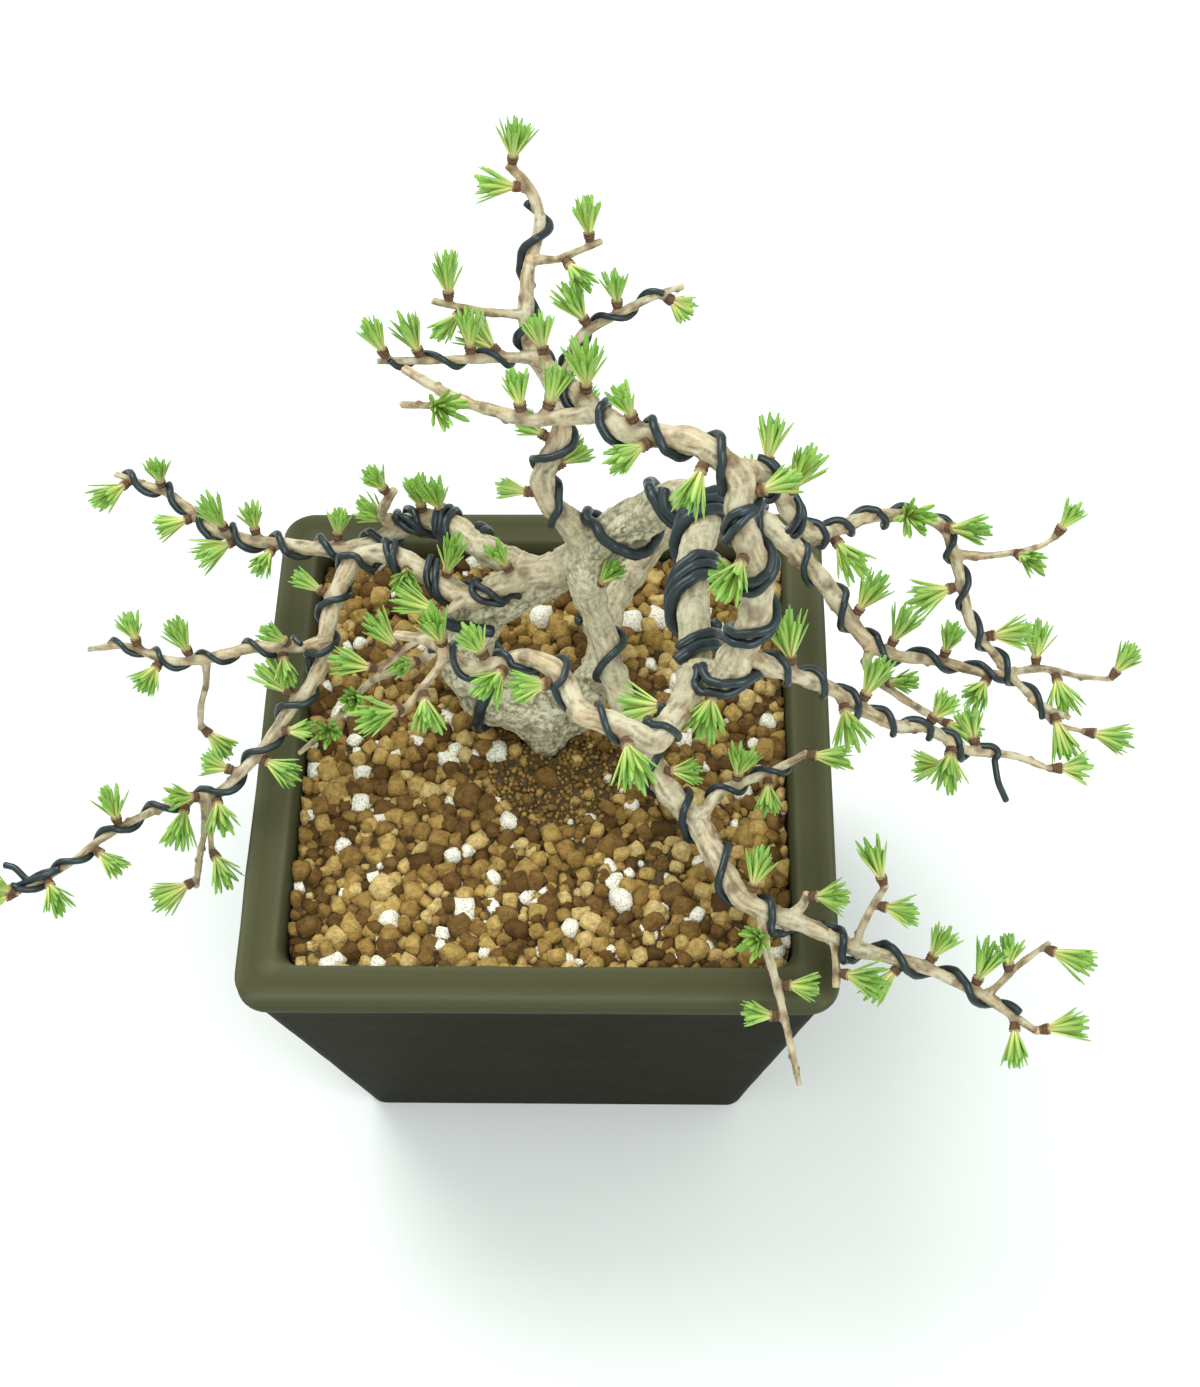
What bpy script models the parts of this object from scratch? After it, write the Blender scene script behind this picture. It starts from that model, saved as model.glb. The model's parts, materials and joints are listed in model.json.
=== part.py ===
"""A small larch bonsai in a square tapered pot, with its training wire and its gritty soil.

Metres, +Z up. The origin is the centre of the pot's flat underside, and the tree's front faces -Y.
Stem routes, tufts and wires are given in millimetres.
"""

import math

import bmesh
import bpy
import numpy as np
from mathutils import Vector
from mathutils.bvhtree import BVHTree

MM = 0.001
GAP = 0.3  # mm between two pieces that touch

# The pot: half widths and heights in mm
RIM_HALF = 75.0
BASE_HALF = 54.5
POT_HEIGHT = 115.0
LIP_WIDTH = 10.5
LIP_DROP = 8.0  # height of the outer lip's band
LIP_PROUD = 1.6  # how far the lip stands out from the wall under it
INNER_FLOOR_HALF = 47.5
POT_FLOOR = 9.0
RIM_CORNER = 8.0
BASE_CORNER = 5.0
CORNER_STEPS = 3
DRAIN_RADIUS = 7.0
DRAIN_X = 22.0

# The screens that keep the soil in over the drain holes
SCREEN_SIZE = 26.0
SCREEN_THICK = 1.0
SCREEN_HOLES = 2
SCREEN_BAR = 2.0

# The soil
SOIL_TOP = 107.0
SOIL_CELLS = 18
GRAIN_RELIEF = 1.2
MOUND_HEIGHT = 2.0
MOUND_REACH = 26.0

# The wood
TRUNK_SIDES = 10
TRUNK_STEP = 6.5
LOBE_SIDES = 9
LOBE_STEP = 5
STEM_SIDES = 5
STEM_STEP = 7.0
SPUR_RADIUS = 1.4
SPUR_LENGTH = 2.3
SPUR_FOOT = 0.66  # its foot's share of the stem's radius
SPUR_DOME = 1.2  # height of the rounded top
NEEDLE_LENGTH = 6.8
NEEDLE_VARIETY = 0.24  # how far a tuft's needles are from that, as a share
NEEDLES_ROUND = 4  # needles in each of a tuft's two rings
INNER_SPREAD = 13  # degrees from the tuft's axis
OUTER_SPREAD = 31
STEEPEST_LEAN = 0.6  # the most that a spur leans along its stem
TUFT_ROOM = 0.55  # least distance in mm from a tuft to other wood, wire or tufts

# The wire
WIRE_SIDES = 4
CHORDS_PER_TURN = 6
WIRE_CLEARANCE = 0.45
WIRE_PUSHES = 6  # rounds of pushing a wire clear of what it meets
SNUG_PULLS = 14  # rounds of drawing a wire in to old bark
SNUG_CLEARANCE = 0.35
WIRE_FLOOR = 110.8  # no wire over the pot lies lower than the soil's highest grains

# Thick wood, as (x, y, z, radius) in mm, from the foot upwards
TRUNK = [
    (0, 6, 84, 5.5), (0, 6, 97, 6.0), (0, 6, 108, 6.4), (0, 7, 112.5, 7.6), (-1, 8, 116, 8.6),
    (-4, 8, 119, 8.0), (-9, 8, 121.5, 7.2), (-14, 8.5, 124.5, 6.9), (-18, 11, 129.5, 6.8),
    (-19.5, 14, 136, 6.8), (-17.5, 17, 142.5, 6.8), (-13, 19.5, 148, 6.4), (-7, 21, 152.5, 5.9),
    (0, 21.5, 156.5, 5.6), (8, 22, 162, 5.5), (15, 22, 169, 5.7), (20.5, 22.5, 175.5, 5.9),
    (26, 23, 181, 5.6), (31, 22.5, 186, 5.2), (36, 21, 190.5, 4.8), (40, 16, 194, 4.5),
    (40.5, 9, 196.5, 4.2), (39, 1, 198, 4.0), (38, -7, 199, 3.9), (38, -16, 199.8, 3.8),
    (38.5, -26, 200.5, 3.8), (38, -37, 202, 3.8),
]
FOOT_LOBE = [(1, 8, 112, 7.4), (7, 9.5, 114.5, 6.3), (13, 13.5, 118.5, 4.8)]
SHOULDER = [(-7, 8, 120, 6.5), (-13, 7.5, 122, 6.6), (-18, 9.5, 126, 6.0)]


def stem(route, tufts=()):
    """A stem's route, and its tufts as (mm along the stem, compass heading from +X, lift), in degrees."""
    return {"route": route, "tufts": list(tufts)}


# Each branch is its main stem and the twigs that grow from it, root first, as (x, y, z, radius) in mm
BRANCHES = {
    "leader": [
        stem([(38, -37, 202, 3.8), (44, -42, 210, 3.8), (48, -40, 218, 3.6), (51, -37, 228, 3.4),
              (51, -34, 237, 3.2), (49, -32, 244, 3.1), (47, -27, 249, 3.0), (47, -22, 254, 2.9),
              (39, -16, 257, 2.8), (32, -13, 256, 2.7), (25, -10, 254, 2.6), (17, -2, 251, 2.4),
              (11, 8, 248, 2.1), (5, 16, 246, 1.6)],
             [(6, -150, 0), (36, -150, 55), (42, -160, 10), (54, 10, 20), (71, -60, -10), (76, -95, 0),
              (84, 140, 60), (104, 90, 70), (121, 60, 70)]),
        stem([(16, -3, 251, 1.6), (9, -3, 250, 1.6), (3, -2, 248, 1.5), (-4, 2, 246, 1.4),
              (-13, 8, 243, 1.3), (-20, 15, 240, 1.2), (-26, 21, 238, 1.0)],
             [(10, 60, 50), (15, 110, 65)]),
        stem([(-12, 8, 243, 1.0), (-19, 8, 241, 0.9), (-26, 10, 239, 0.8)],
             [(7, -60, 40)]),
    ],
    "branch_back": [
        stem([(13, 22.5, 168, 4.0), (10.5, 24, 173, 3.7), (8, 25, 177, 3.4), (4, 26, 182, 3.0),
              (2, 29, 187, 2.8), (4, 32, 193, 2.6), (7, 35, 199, 2.4), (6, 40, 206, 2.2), (2, 46, 211, 2.0),
              (-1, 51, 215, 1.9), (-1, 61, 222, 1.7), (0, 67, 225, 1.6), (2, 75, 229, 1.5),
              (-1, 82, 233, 1.3), (-6, 86, 236, 1.0)],
             [(20, 175, 10), (24, 15, 35), (34, 160, 30), (39, 20, 40), (98, 180, 10), (104, 20, 60)]),
        stem([(-1, 55, 218, 1.1), (-10, 53, 221, 1.0), (-17, 53, 223, 0.9), (-23, 54, 224, 0.8)],
             [(15, -130, 0), (19, 90, 65)]),
        stem([(0, 66, 225, 1.1), (6, 65, 226, 1.0), (10, 65, 228, 0.9), (17, 67, 230, 0.8)],
             [(8, -60, 0), (15, 100, 60)]),
        stem([(6, 40, 206, 1.6), (8, 46, 208, 1.4), (12, 52, 214, 1.3), (22, 55, 219, 1.1),
              (31, 58, 222, 0.9), (36, 59, 223, 0.8)],
             [(20, 120, 50), (26, 100, 65), (37, -40, 0)]),
        stem([(1, 47, 212, 1.5), (-5, 45, 214, 1.3), (-16, 41, 218, 1.1), (-27, 39, 220, 1.0),
              (-35, 37, 222, 0.8)],
             [(8, -160, 20), (15, 90, 65), (25, 90, 65), (36, 130, 55)]),
    ],
    "branch_far_left": [
        stem([(1, 21, 157, 4.0), (-5, 23.5, 160, 3.9), (-10, 26, 160.5, 3.7), (-15, 31, 158.5, 3.5),
              (-20, 37, 156, 3.4), (-25, 42, 153, 3.3), (-31, 45, 151, 3.0), (-37, 44, 149, 2.7),
              (-43, 41, 147, 2.4),
              (-51, 39, 146, 2.1), (-60, 40, 145, 1.9), (-69, 43, 143, 1.7), (-78, 45, 142, 1.6),
              (-88, 50, 140, 1.5), (-95, 57, 139, 1.3), (-103, 64, 138, 1.2), (-111, 68, 137, 1.1),
              (-118, 71, 137, 0.8)],
             [(34, 80, 65), (41, 100, 75), (50, 170, 40), (69, 130, 50), (85, -60, 10), (90, 110, 60),
              (95, -150, 0), (99, 100, 65), (111, -160, 0), (124, 60, 70), (136, -130, 10)]),
        stem([(-38, 44, 149, 1.7), (-41, 43, 155, 1.5), (-40, 43, 160, 1.3), (-37, 44, 165, 1.0)],
             [(15, 180, 10)]),
    ],
    "branch_left": [
        stem([(7, 21, 162, 3.2), (3.5, 17, 166.3, 3.2), (0, 16, 167, 3.1), (-5, 16, 165, 3.0),
              (-10, 16, 162, 3.0), (-15, 14, 160, 2.9), (-19, 15, 160, 2.8), (-24, 18, 160.5, 2.8),
              (-32, 24, 160, 2.8), (-38, 28, 159, 2.7), (-45, 29, 157, 2.6), (-49, 25, 155, 2.5),
              (-52, 19, 152, 2.4), (-54, 11, 148, 2.2), (-55, 5, 144, 2.0), (-59, -1, 140, 1.8),
              (-64, -5, 136, 1.6), (-70, -12, 131, 1.5), (-76, -17, 127, 1.4), (-82, -21, 123, 1.3),
              (-90, -21, 120, 1.2), (-100, -23, 117, 1.1), (-112, -28, 113, 1.0), (-123, -36, 110, 0.9),
              (-134, -42, 108, 0.7)],
             [(16, 150, 60), (38, 90, 70), (50, -120, 20), (75, 180, 20), (103, -170, 10),
              (113, 0, 10), (121, -30, 0), (127, 170, 20), (134, -50, 0), (139, 170, 15),
              (147, -120, 0), (165, 110, 60), (172, -90, 0), (186, -60, 10), (193, 100, 60),
              (207, -150, 10)]),
        stem([(-17, 14.5, 160, 1.3), (-21, 10, 161, 1.1), (-27, 6, 157, 1.0), (-34, 2, 153, 0.9),
              (-40, -1, 149, 0.8)],
             [(8, 170, 20), (23, 150, 50), (30, 180, 30)]),
        stem([(-54, 9, 147, 1.7), (-61, 9, 145, 1.6), (-73, 11, 142, 1.5), (-84, 10, 139, 1.4),
              (-95, 10, 137, 1.2), (-108, 16, 135, 1.0), (-119, 17, 132, 0.8)],
             [(7, 130, 50), (14, -100, 0), (37, 80, 60), (41, -90, 0), (53, 110, 60)]),
        stem([(-86, 10, 139, 1.0), (-87, 7, 131, 0.9), (-89, 4, 125, 0.9), (-90, 1, 118, 0.8)],
             [(22, -20, 10)]),
        stem([(-86, -21, 121, 1.0), (-87, -26, 112, 0.9), (-89, -29, 105, 0.9), (-91, -34, 96, 0.8)],
             [(26, -150, 0)]),
        stem([(-84, -21, 122, 0.9), (-85, -27, 114, 0.8), (-85, -32, 108, 0.7)],
             [(15, -60, 0)]),
    ],
    "branch_low_left": [
        stem([(-19, 17, 141, 1.6), (-24, 15, 140.5, 1.5), (-30, 11, 137, 1.3), (-36, 9, 135, 1.1),
              (-44, 7, 132, 1.0),
              (-52, 0, 127, 0.9), (-57, -4, 124, 0.8), (-63, -8, 121, 0.7)],
             [(14, -150, 10), (34, -90, 50), (45, -80, 50)]),
    ],
    "branch_front_left": [
        stem([(38, -38, 203, 3.0), (36, -47, 208, 2.9), (32, -56, 212, 2.8), (29, -61, 214, 2.7),
              (24, -59, 216, 2.6), (19, -57, 216, 2.5), (14, -54, 215, 2.4), (10, -46, 216, 2.2),
              (6, -43, 217, 2.1), (1, -41, 216, 2.0), (-5, -42, 214, 1.9), (-10, -41, 212, 1.8),
              (-15, -36, 210, 1.6), (-20, -32, 209, 1.4), (-28, -29, 207, 0.9)],
             [(12, -165, -20), (34, -70, 0), (50, -170, 10), (63, -120, 10), (69, 90, 50), (84, 150, 75)]),
        stem([(-16, -36, 210, 1.2), (-18, -39, 208, 1.0), (-22, -43, 205, 0.9), (-26, -47, 202, 0.8)],
             [(9, -80, 0), (15, -150, 50)]),
    ],
    "branch_front_right": [
        stem([(12, 20, 166, 4.4), (12.5, 15, 166, 4.5), (13.5, 12, 161.5, 4.2), (15, 9, 157, 3.8),
              (17, 5, 153.5, 3.6), (18, 1, 150, 3.5), (20, -3, 146, 3.3), (22, -8, 142, 3.2),
              (26, -16, 137, 3.1), (30, -22, 134, 3.1),
              (34, -28, 133, 3.0), (40, -35, 132, 3.0), (43, -41, 131, 2.9), (47, -48, 130, 2.8),
              (51, -54, 129, 2.6), (57, -57, 128, 2.4), (64, -59, 127, 2.2), (71, -62, 126, 2.0),
              (78, -65, 125, 1.9), (92, -68, 123, 1.6), (106, -74, 121, 1.4), (113, -78, 119, 1.2),
              (121, -83, 117, 0.9)],
             [(8, 110, 60), (56, -20, 20), (99, 20, 40), (138, -90, -20), (143, 50, 40), (154, 60, 50),
              (167, -90, -10), (173, 0, 20)]),
        stem([(40, -34, 132, 1.8), (45, -27, 134, 1.5), (50, -25, 135, 1.3), (60, -21, 136, 1.1),
              (67, -17, 137, 0.8)],
             [(13, 50, 50), (22, -90, -10), (32, -10, 10)]),
        stem([(55, -56, 128, 1.3), (56, -65, 127, 1.2), (58, -72, 125, 1.1), (60, -79, 121, 1.0),
              (62, -87, 117, 0.9), (64, -95, 112, 0.8)],
             [(7, -120, 50), (19, -10, 10), (27, 180, 10)]),
        stem([(61, -58, 127, 1.2), (65, -56, 130, 1.1), (66, -54, 133, 0.9)],
             [(8, -20, 20)]),
        stem([(78, -65, 125, 1.1), (79, -62, 129, 1.0), (82, -57, 133, 0.9), (85, -54, 137, 0.8)],
             [(12, -20, 10), (17, 120, 50)]),
        stem([(72, -62, 126, 1.2), (73, -67, 125, 1.0), (73, -74, 122, 0.9)],
             [(6, 0, 20)]),
        stem([(109, -75, 120, 1.0), (112, -73, 122, 0.9), (117, -69, 125, 0.8), (124, -65, 129, 0.7)],
             [(6, 130, 50), (18, -30, 10)]),
    ],
    "branch_right_middle": [
        stem([(48, -40, 217, 1.9), (54, -41, 213, 1.9), (59, -40, 208, 1.8), (68, -37, 198, 1.7),
              (73, -37, 192, 1.6), (80, -36, 184, 1.5), (86, -35, 178, 1.4), (92, -32, 173, 1.3),
              (98, -31, 166, 1.2), (104, -31, 161, 1.1), (115, -28, 154, 1.0), (125, -29, 149, 0.7)],
             [(15, 100, 50), (33, -80, 0), (38, 50, 50), (62, 40, 40), (74, -100, 0), (84, 60, 40),
              (104, 0, 0)]),
        stem([(98, -31, 166, 1.0), (100, -33, 160, 0.9), (101, -35, 154, 0.8)],
             [(8, 180, 0)]),
    ],
    "branch_right_top": [
        stem([(46, -21, 255, 2.2), (52, -18, 250, 2.1), (56, -17, 241, 2.0), (60, -17, 232, 1.9),
              (64, -15, 225, 1.8), (67, -11, 220, 1.7), (72, -5, 215, 1.6), (78, 1, 210, 1.5),
              (85, 6, 204, 1.5), (92, 10, 198, 1.4), (98, 10, 191, 1.4), (103, 2, 177, 1.3),
              (105, -2, 171, 1.2), (110, -5, 165, 1.1), (117, -9, 157, 1.0), (124, -12, 151, 0.9),
              (131, -13, 147, 0.7)],
             [(7, 30, 40), (20, 60, 60), (45, -60, 0), (75, -90, 50), (89, 20, 30), (106, -160, 0),
              (119, 0, 10), (149, -100, -10)]),
        stem([(101, 8, 186, 1.0), (107, 7, 187, 0.9), (112, 7, 188, 0.8), (119, 8, 189, 0.7),
              (124, 10, 191, 0.6)],
             [(13, -60, 30), (23, 40, 50)]),
        stem([(121, -11, 153, 0.9), (125, -13, 148, 0.8), (129, -14, 145, 0.7), (136, -14, 142, 0.6)],
             [(18, -20, 10)]),
    ],
    "branch_right": [
        stem([(12, 14, 118, 4.3), (14, 21, 118, 4.2), (15, 30, 119, 4.0), (18, 39, 122, 3.8),
              (24, 46, 128, 3.7), (31, 51, 136, 3.6), (40, 52, 145, 3.5), (49, 48, 152, 3.3),
              (56, 41, 156, 3.1), (62, 34, 157, 2.9), (67, 29, 155, 2.6), (72, 24, 152, 2.4),
              (76, 19, 149, 2.3), (80, 15, 145, 2.1), (84, 12, 142, 1.8), (90, 10, 140, 1.6),
              (102, 11, 136, 1.4), (115, 9, 133, 1.2), (128, 12, 131, 1.0), (138, 11, 129, 0.8),
              (146, 10, 129, 0.6)],
             [(83, 40, 45), (121, 40, 50), (129, 50, 50), (147, 60, 60), (162, -90, 0), (174, 90, 50),
              (179, -80, 0), (194, 70, 50)]),
        stem([(84, 12, 142, 1.4), (83, 9, 138, 1.3), (85, 7, 135, 1.2), (93, 3, 130, 1.1),
              (104, -2, 126, 0.8)],
             [(9, 20, 40), (30, -40, 20)]),
    ],
}

# Which thicker pieces each branch is let into, with a hair of room
GROWS_FROM = {
    "leader": ["trunk"],
    "branch_back": ["trunk"],
    "branch_far_left": ["trunk"],
    "branch_left": ["trunk"],
    "branch_low_left": ["trunk"],
    "branch_front_left": ["trunk", "leader"],
    "branch_front_right": ["trunk"],
    "branch_right_middle": ["leader"],
    "branch_right_top": ["leader"],
    "branch_right": ["trunk"],
}

# Wire, as (what it is wound on, stem number, wire radius, pitch, first mm, last mm, first angle, loose end)
WIRES = {
    "wire_foot": ("trunk", 0, 1.6, 24, 36, 76, 245, []),
    "wire_arc": ("trunk", 0, 1.4, 20.5, 112, 200, 285, []),
    "wire_leader": ("leader", 0, 1.0, 14, 8, 112, 0, []),
    "wire_back": ("branch_back", 0, 1.0, 16, 14, 96, 60, []),
    "wire_back_right": ("branch_back", 3, 0.75, 13, 5, 38, 0, []),
    "wire_back_left": ("branch_back", 4, 0.75, 13, 5, 36, 0, []),
    "wire_far_left": ("branch_far_left", 0, 1.0, 13, 20, 140, 0, []),
    "wire_left": ("branch_left", 0, 0.9, 14, 20, 199, 40,
                  [(-122, -38, 113), (-130, -37, 111), (-138, -35, 110)]),
    "wire_left_twig": ("branch_left", 2, 0.75, 13, 6, 64, 0, []),
    "wire_front_left": ("branch_front_left", 0, 0.8, 14, 15, 90, 0, []),
    "wire_front_right": ("branch_front_right", 0, 1.0, 15, 14, 168, 0, []),
    "wire_front_twig": ("branch_front_right", 1, 0.75, 12, 5, 28, 0, []),
    "wire_right_middle": ("branch_right_middle", 0, 0.8, 13, 6, 88, 0,
                          [(110, -35, 157), (113, -38, 150)]),
    "wire_right_top": ("branch_right_top", 0, 0.8, 14, 6, 148, 0, []),
    "wire_right": ("branch_right", 0, 0.9, 15, 66, 168, 0, []),
}

MATERIALS = {
    "glaze": ((0.098, 0.093, 0.070), 0.42, 0.0),
    "screen_plastic": ((0.02, 0.02, 0.02), 0.6, 0.0),
    "soil": ((0.24, 0.145, 0.07), 0.95, 0.0),
    "bark": ((0.33, 0.25, 0.16), 0.9, 0.0),
    "foliage": ((0.16, 0.29, 0.06), 0.7, 0.0),
    "wire": ((0.05, 0.07, 0.085), 0.38, 0.6),
}


def clear_file():
    for obj in list(bpy.data.objects):
        bpy.data.objects.remove(obj, do_unlink=True)


def material(name):
    found = bpy.data.materials.get(name)
    if found:
        return found
    colour, roughness, metallic = MATERIALS[name]
    made = bpy.data.materials.new(name)
    made.use_nodes = True
    shader = made.node_tree.nodes["Principled BSDF"]
    shader.inputs["Base Color"].default_value = (*colour, 1)
    shader.inputs["Roughness"].default_value = roughness
    shader.inputs["Metallic"].default_value = metallic
    return made


def new_object(name, points, faces, finish):
    """A mesh object from points in mm."""
    mesh = bpy.data.meshes.new(name)
    mesh.from_pydata([tuple(c * MM for c in p) for p in points], [], faces)
    mesh.materials.append(material(finish))
    obj = bpy.data.objects.new(name, mesh)
    bpy.context.scene.collection.objects.link(obj)
    return obj


def settle(obj):
    """Applies the object's modifiers."""
    shape = bpy.data.meshes.new_from_object(obj.evaluated_get(bpy.context.evaluated_depsgraph_get()))
    obj.modifiers.clear()
    old = obj.data
    obj.data = shape
    bpy.data.meshes.remove(old)
    return obj


def joined(obj, others, operation="UNION"):
    """One applied Boolean of the object with all the others, which are used up."""
    if not others:
        return obj
    group = bpy.data.collections.new(obj.name + "_tools")
    for other in others:
        group.objects.link(other)
    tool = obj.modifiers.new("join", "BOOLEAN")
    tool.operation = operation
    tool.operand_type = "COLLECTION"
    tool.collection = group
    tool.solver = "MANIFOLD"
    settle(obj)
    for other in others:
        bpy.data.objects.remove(other, do_unlink=True)
    bpy.data.collections.remove(group)
    return obj


def smooth_route(route, step):
    """Points about a step apart on a smooth curve through the route, all of its columns blended alike."""
    knots = np.array(route, float)
    ends = [2 * knots[0] - knots[1], *knots, 2 * knots[-1] - knots[-2]]
    fine = []
    for a, b, c, d in zip(ends, ends[1:], ends[2:], ends[3:]):
        for t in np.linspace(0, 1, 12, endpoint=False):
            square = 2 * a - 5 * b + 4 * c - d
            cube = 3 * b - a - 3 * c + d
            fine.append(0.5 * (2 * b + (c - a) * t + square * t**2 + cube * t**3))
    fine = np.array(fine + [knots[-1]])
    along = arc_lengths(fine)
    count = max(2, round(along[-1] / step)) + 1
    places = np.linspace(0, along[-1], count)
    return np.array([np.interp(places, along, column) for column in fine.T]).T


def arc_lengths(points):
    return np.concatenate([[0], np.cumsum(np.linalg.norm(np.diff(points[:, :3], axis=0), axis=1))])


def frames(points):
    """Two directions across the path at each point, carried along it without twist."""
    tangents = np.gradient(points[:, :3], axis=0)
    tangents /= np.linalg.norm(tangents, axis=1)[:, None]
    level = (0.0, 1.0, 0.0) if abs(tangents[0][1]) < 0.8 else (1.0, 0.0, 0.0)
    side = np.cross(tangents[0], level)
    across = []
    for tangent in tangents:
        side = side - tangent * side.dot(tangent)
        side = side / np.linalg.norm(side)
        across.append(side)
    across = np.array(across)
    return tangents, across, np.cross(tangents, across)


def tube(name, samples, sides, finish, swell=0.0, relief=None):
    """A closed tube through (x, y, z, radius) samples, with a fan at each end."""
    _, side, up = frames(samples)
    along = arc_lengths(samples)
    points, faces = [], []
    for i, (x, y, z, radius) in enumerate(samples):
        for k in range(sides):
            angle = 2 * math.pi * k / sides
            reach = (radius + swell) * (relief(angle, along[i]) if relief else 1)
            way = math.cos(angle) * side[i] + math.sin(angle) * up[i]
            points.append(np.array((x, y, z)) + reach * way)
    for i in range(len(samples) - 1):
        for k in range(sides):
            a, b = i * sides + k, i * sides + (k + 1) % sides
            faces.append((a, b, b + sides, a + sides))
    first, last = len(points), len(points) + 1
    points += [samples[0][:3], samples[-1][:3] + (samples[-1][:3] - samples[-2][:3]) * 0.08]
    top = (len(samples) - 1) * sides
    for k in range(sides):
        faces.append((first, (k + 1) % sides, k))
        faces.append((last, top + k, top + (k + 1) % sides))
    return new_object(name, points, faces, finish)


def old_bark(angle, along):
    """The trunk's lengthwise ridges and hollows, which drift round it as it climbs."""
    return (1 + 0.09 * math.sin(3 * angle + along / 17) + 0.06 * math.sin(5 * angle - along / 11 + 1.7)
            + 0.05 * math.sin(2 * angle + along / 5.5))


def young_bark(angle, along):
    """Low rings where old leaves stood, and a slight ridge."""
    return 1 + 0.07 * math.sin(along * 0.9) + 0.05 * math.sin(2 * angle + along / 8)


def segments(samples, swell=0.0):
    """The path's straight pieces as rows of start, end, start radius and end radius."""
    return np.hstack([samples[:-1, :3], samples[1:, :3], samples[:-1, 3:] + swell, samples[1:, 3:] + swell])


def room(points, rows):
    """For each point, the distance to the nearest row's surface, and the way out from that row's middle."""
    start, run = rows[:, :3], rows[:, 3:6] - rows[:, :3]
    offset = points[:, None, :] - start[None]
    share = np.clip((offset * run).sum(2) / np.maximum((run * run).sum(1), 1e-9), 0, 1)
    away = offset - share[..., None] * run[None]
    distance = np.linalg.norm(away, axis=2)
    clear = distance - (rows[:, 6] + share * (rows[:, 7] - rows[:, 6]))
    nearest = clear.argmin(1)
    pick = np.arange(len(points))
    return clear[pick, nearest], away[pick, nearest] / np.maximum(distance[pick, nearest], 1e-9)[:, None]


def drawn_in(points, radius, bark):
    """The wire's points moved in or out until each chord of it lies just off the bark."""
    shares = np.linspace(0, 1, 5)[:, None]
    for _ in range(SNUG_PULLS):
        slack = np.full(len(points), 1e3)
        for i in range(len(points) - 1):
            spots = points[i] * (1 - shares) + points[i + 1] * shares
            least = min(bark.find_nearest(Vector(spot))[3] for spot in spots) - radius - SNUG_CLEARANCE
            slack[i] = min(slack[i], least)
            slack[i + 1] = min(slack[i + 1], least)
        for i, point in enumerate(points):
            near = np.array(bark.find_nearest(Vector(point))[0])
            out = (point - near) / max(np.linalg.norm(point - near), 1e-6)
            points[i] = point - out * slack[i] * 0.6
    return points


def wound(stems, number, radius, pitch, first, last, angle, tail, blocked, bark=None):
    """A wire's path: a helix on the stem that passes each twig on its far side, then the loose end."""
    path = smooth_route(stems[number]["route"], 1.0)
    _, side, up = frames(path)
    along = arc_lengths(path)
    marks = []
    for other in stems[number + 1:]:
        start, after = np.array(other["route"][:2], float)[:, :3]
        way = after - start
        gap = np.linalg.norm(path[:, :3] - start, axis=1)
        i = int(gap.argmin())
        if gap[i] < 4 and first < along[i] < last:
            marks.append((along[i], math.atan2(way.dot(up[i]), way.dot(side[i])) + math.pi))
    marks.sort()
    knots = [(first, math.radians(angle))]
    if marks:
        knots = [(first, marks[0][1] - 2 * math.pi * (marks[0][0] - first) / pitch)]
    for place, turn in marks:
        wanted = knots[-1][1] + 2 * math.pi * (place - knots[-1][0]) / pitch
        turn += 2 * math.pi * round((wanted - turn) / (2 * math.pi))
        if place - knots[-1][0] > 1:
            knots.append((place, turn))
    knots.append((last, knots[-1][1] + 2 * math.pi * (last - knots[-1][0]) / pitch))
    places, turns = np.array(knots).T
    count = max(4, round(abs(turns[-1] - turns[0]) / (2 * math.pi) * CHORDS_PER_TURN)) + 1
    even = np.linspace(0, 1, count)
    measure = (turns - turns[0]) / (turns[-1] - turns[0])
    s = np.interp(even, measure, places)
    theta = np.interp(even, measure, turns)
    centre = np.array([np.interp(s, along, path[:, k]) for k in range(4)]).T
    sides = np.array([np.interp(s, along, side[:, k]) for k in range(3)]).T
    ups = np.array([np.interp(s, along, up[:, k]) for k in range(3)]).T
    reach = (centre[:, 3] * 1.1 + WIRE_CLEARANCE + radius) / math.cos(math.pi / CHORDS_PER_TURN)
    ways = np.cos(theta)[:, None] * sides + np.sin(theta)[:, None] * ups
    points = centre[:, :3] + reach[:, None] * ways
    if tail:
        points = np.vstack([points, np.array(tail, float)])
    if bark:
        points = drawn_in(points, radius, bark)
    for _ in range(WIRE_PUSHES):
        middles = (points[:-1] + points[1:]) / 2
        clear, out = room(points, blocked)
        points = points + np.maximum(0, radius + WIRE_CLEARANCE - clear)[:, None] * out
        clear, out = room(middles, blocked)
        push = np.maximum(0, radius + WIRE_CLEARANCE - clear)[:, None] * out
        points[:-1] += push * 0.6
        points[1:] += push * 0.6
        over = np.abs(points[:, :2]).max(1) < RIM_HALF - LIP_WIDTH
        points[over, 2] = np.maximum(points[over, 2], WIRE_FLOOR + radius)
    return np.hstack([points, np.full((len(points), 1), radius)])


def needle_ways(way, seed):
    """A tuft's axes and its needles as vectors: an inner and an outer ring that alternate round its axis."""
    draw = np.random.default_rng(seed)
    axis = Vector(way).normalized()
    side = axis.orthogonal().normalized()
    up = axis.cross(side)
    ways = []
    for ring, spread in enumerate((OUTER_SPREAD, INNER_SPREAD)):
        for k in range(NEEDLES_ROUND):
            turn = 2 * math.pi * (k + 0.5 * ring) / NEEDLES_ROUND + draw.uniform(-0.12, 0.12)
            tilt = math.radians(spread + draw.uniform(-4, 4))
            out = side * math.cos(turn) + up * math.sin(turn)
            ways.append(axis * math.cos(tilt) + out * math.sin(tilt))
    length = NEEDLE_LENGTH * (1 + draw.uniform(-NEEDLE_VARIETY, NEEDLE_VARIETY))
    return axis, side, up, [way * length for way in ways]


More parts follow.
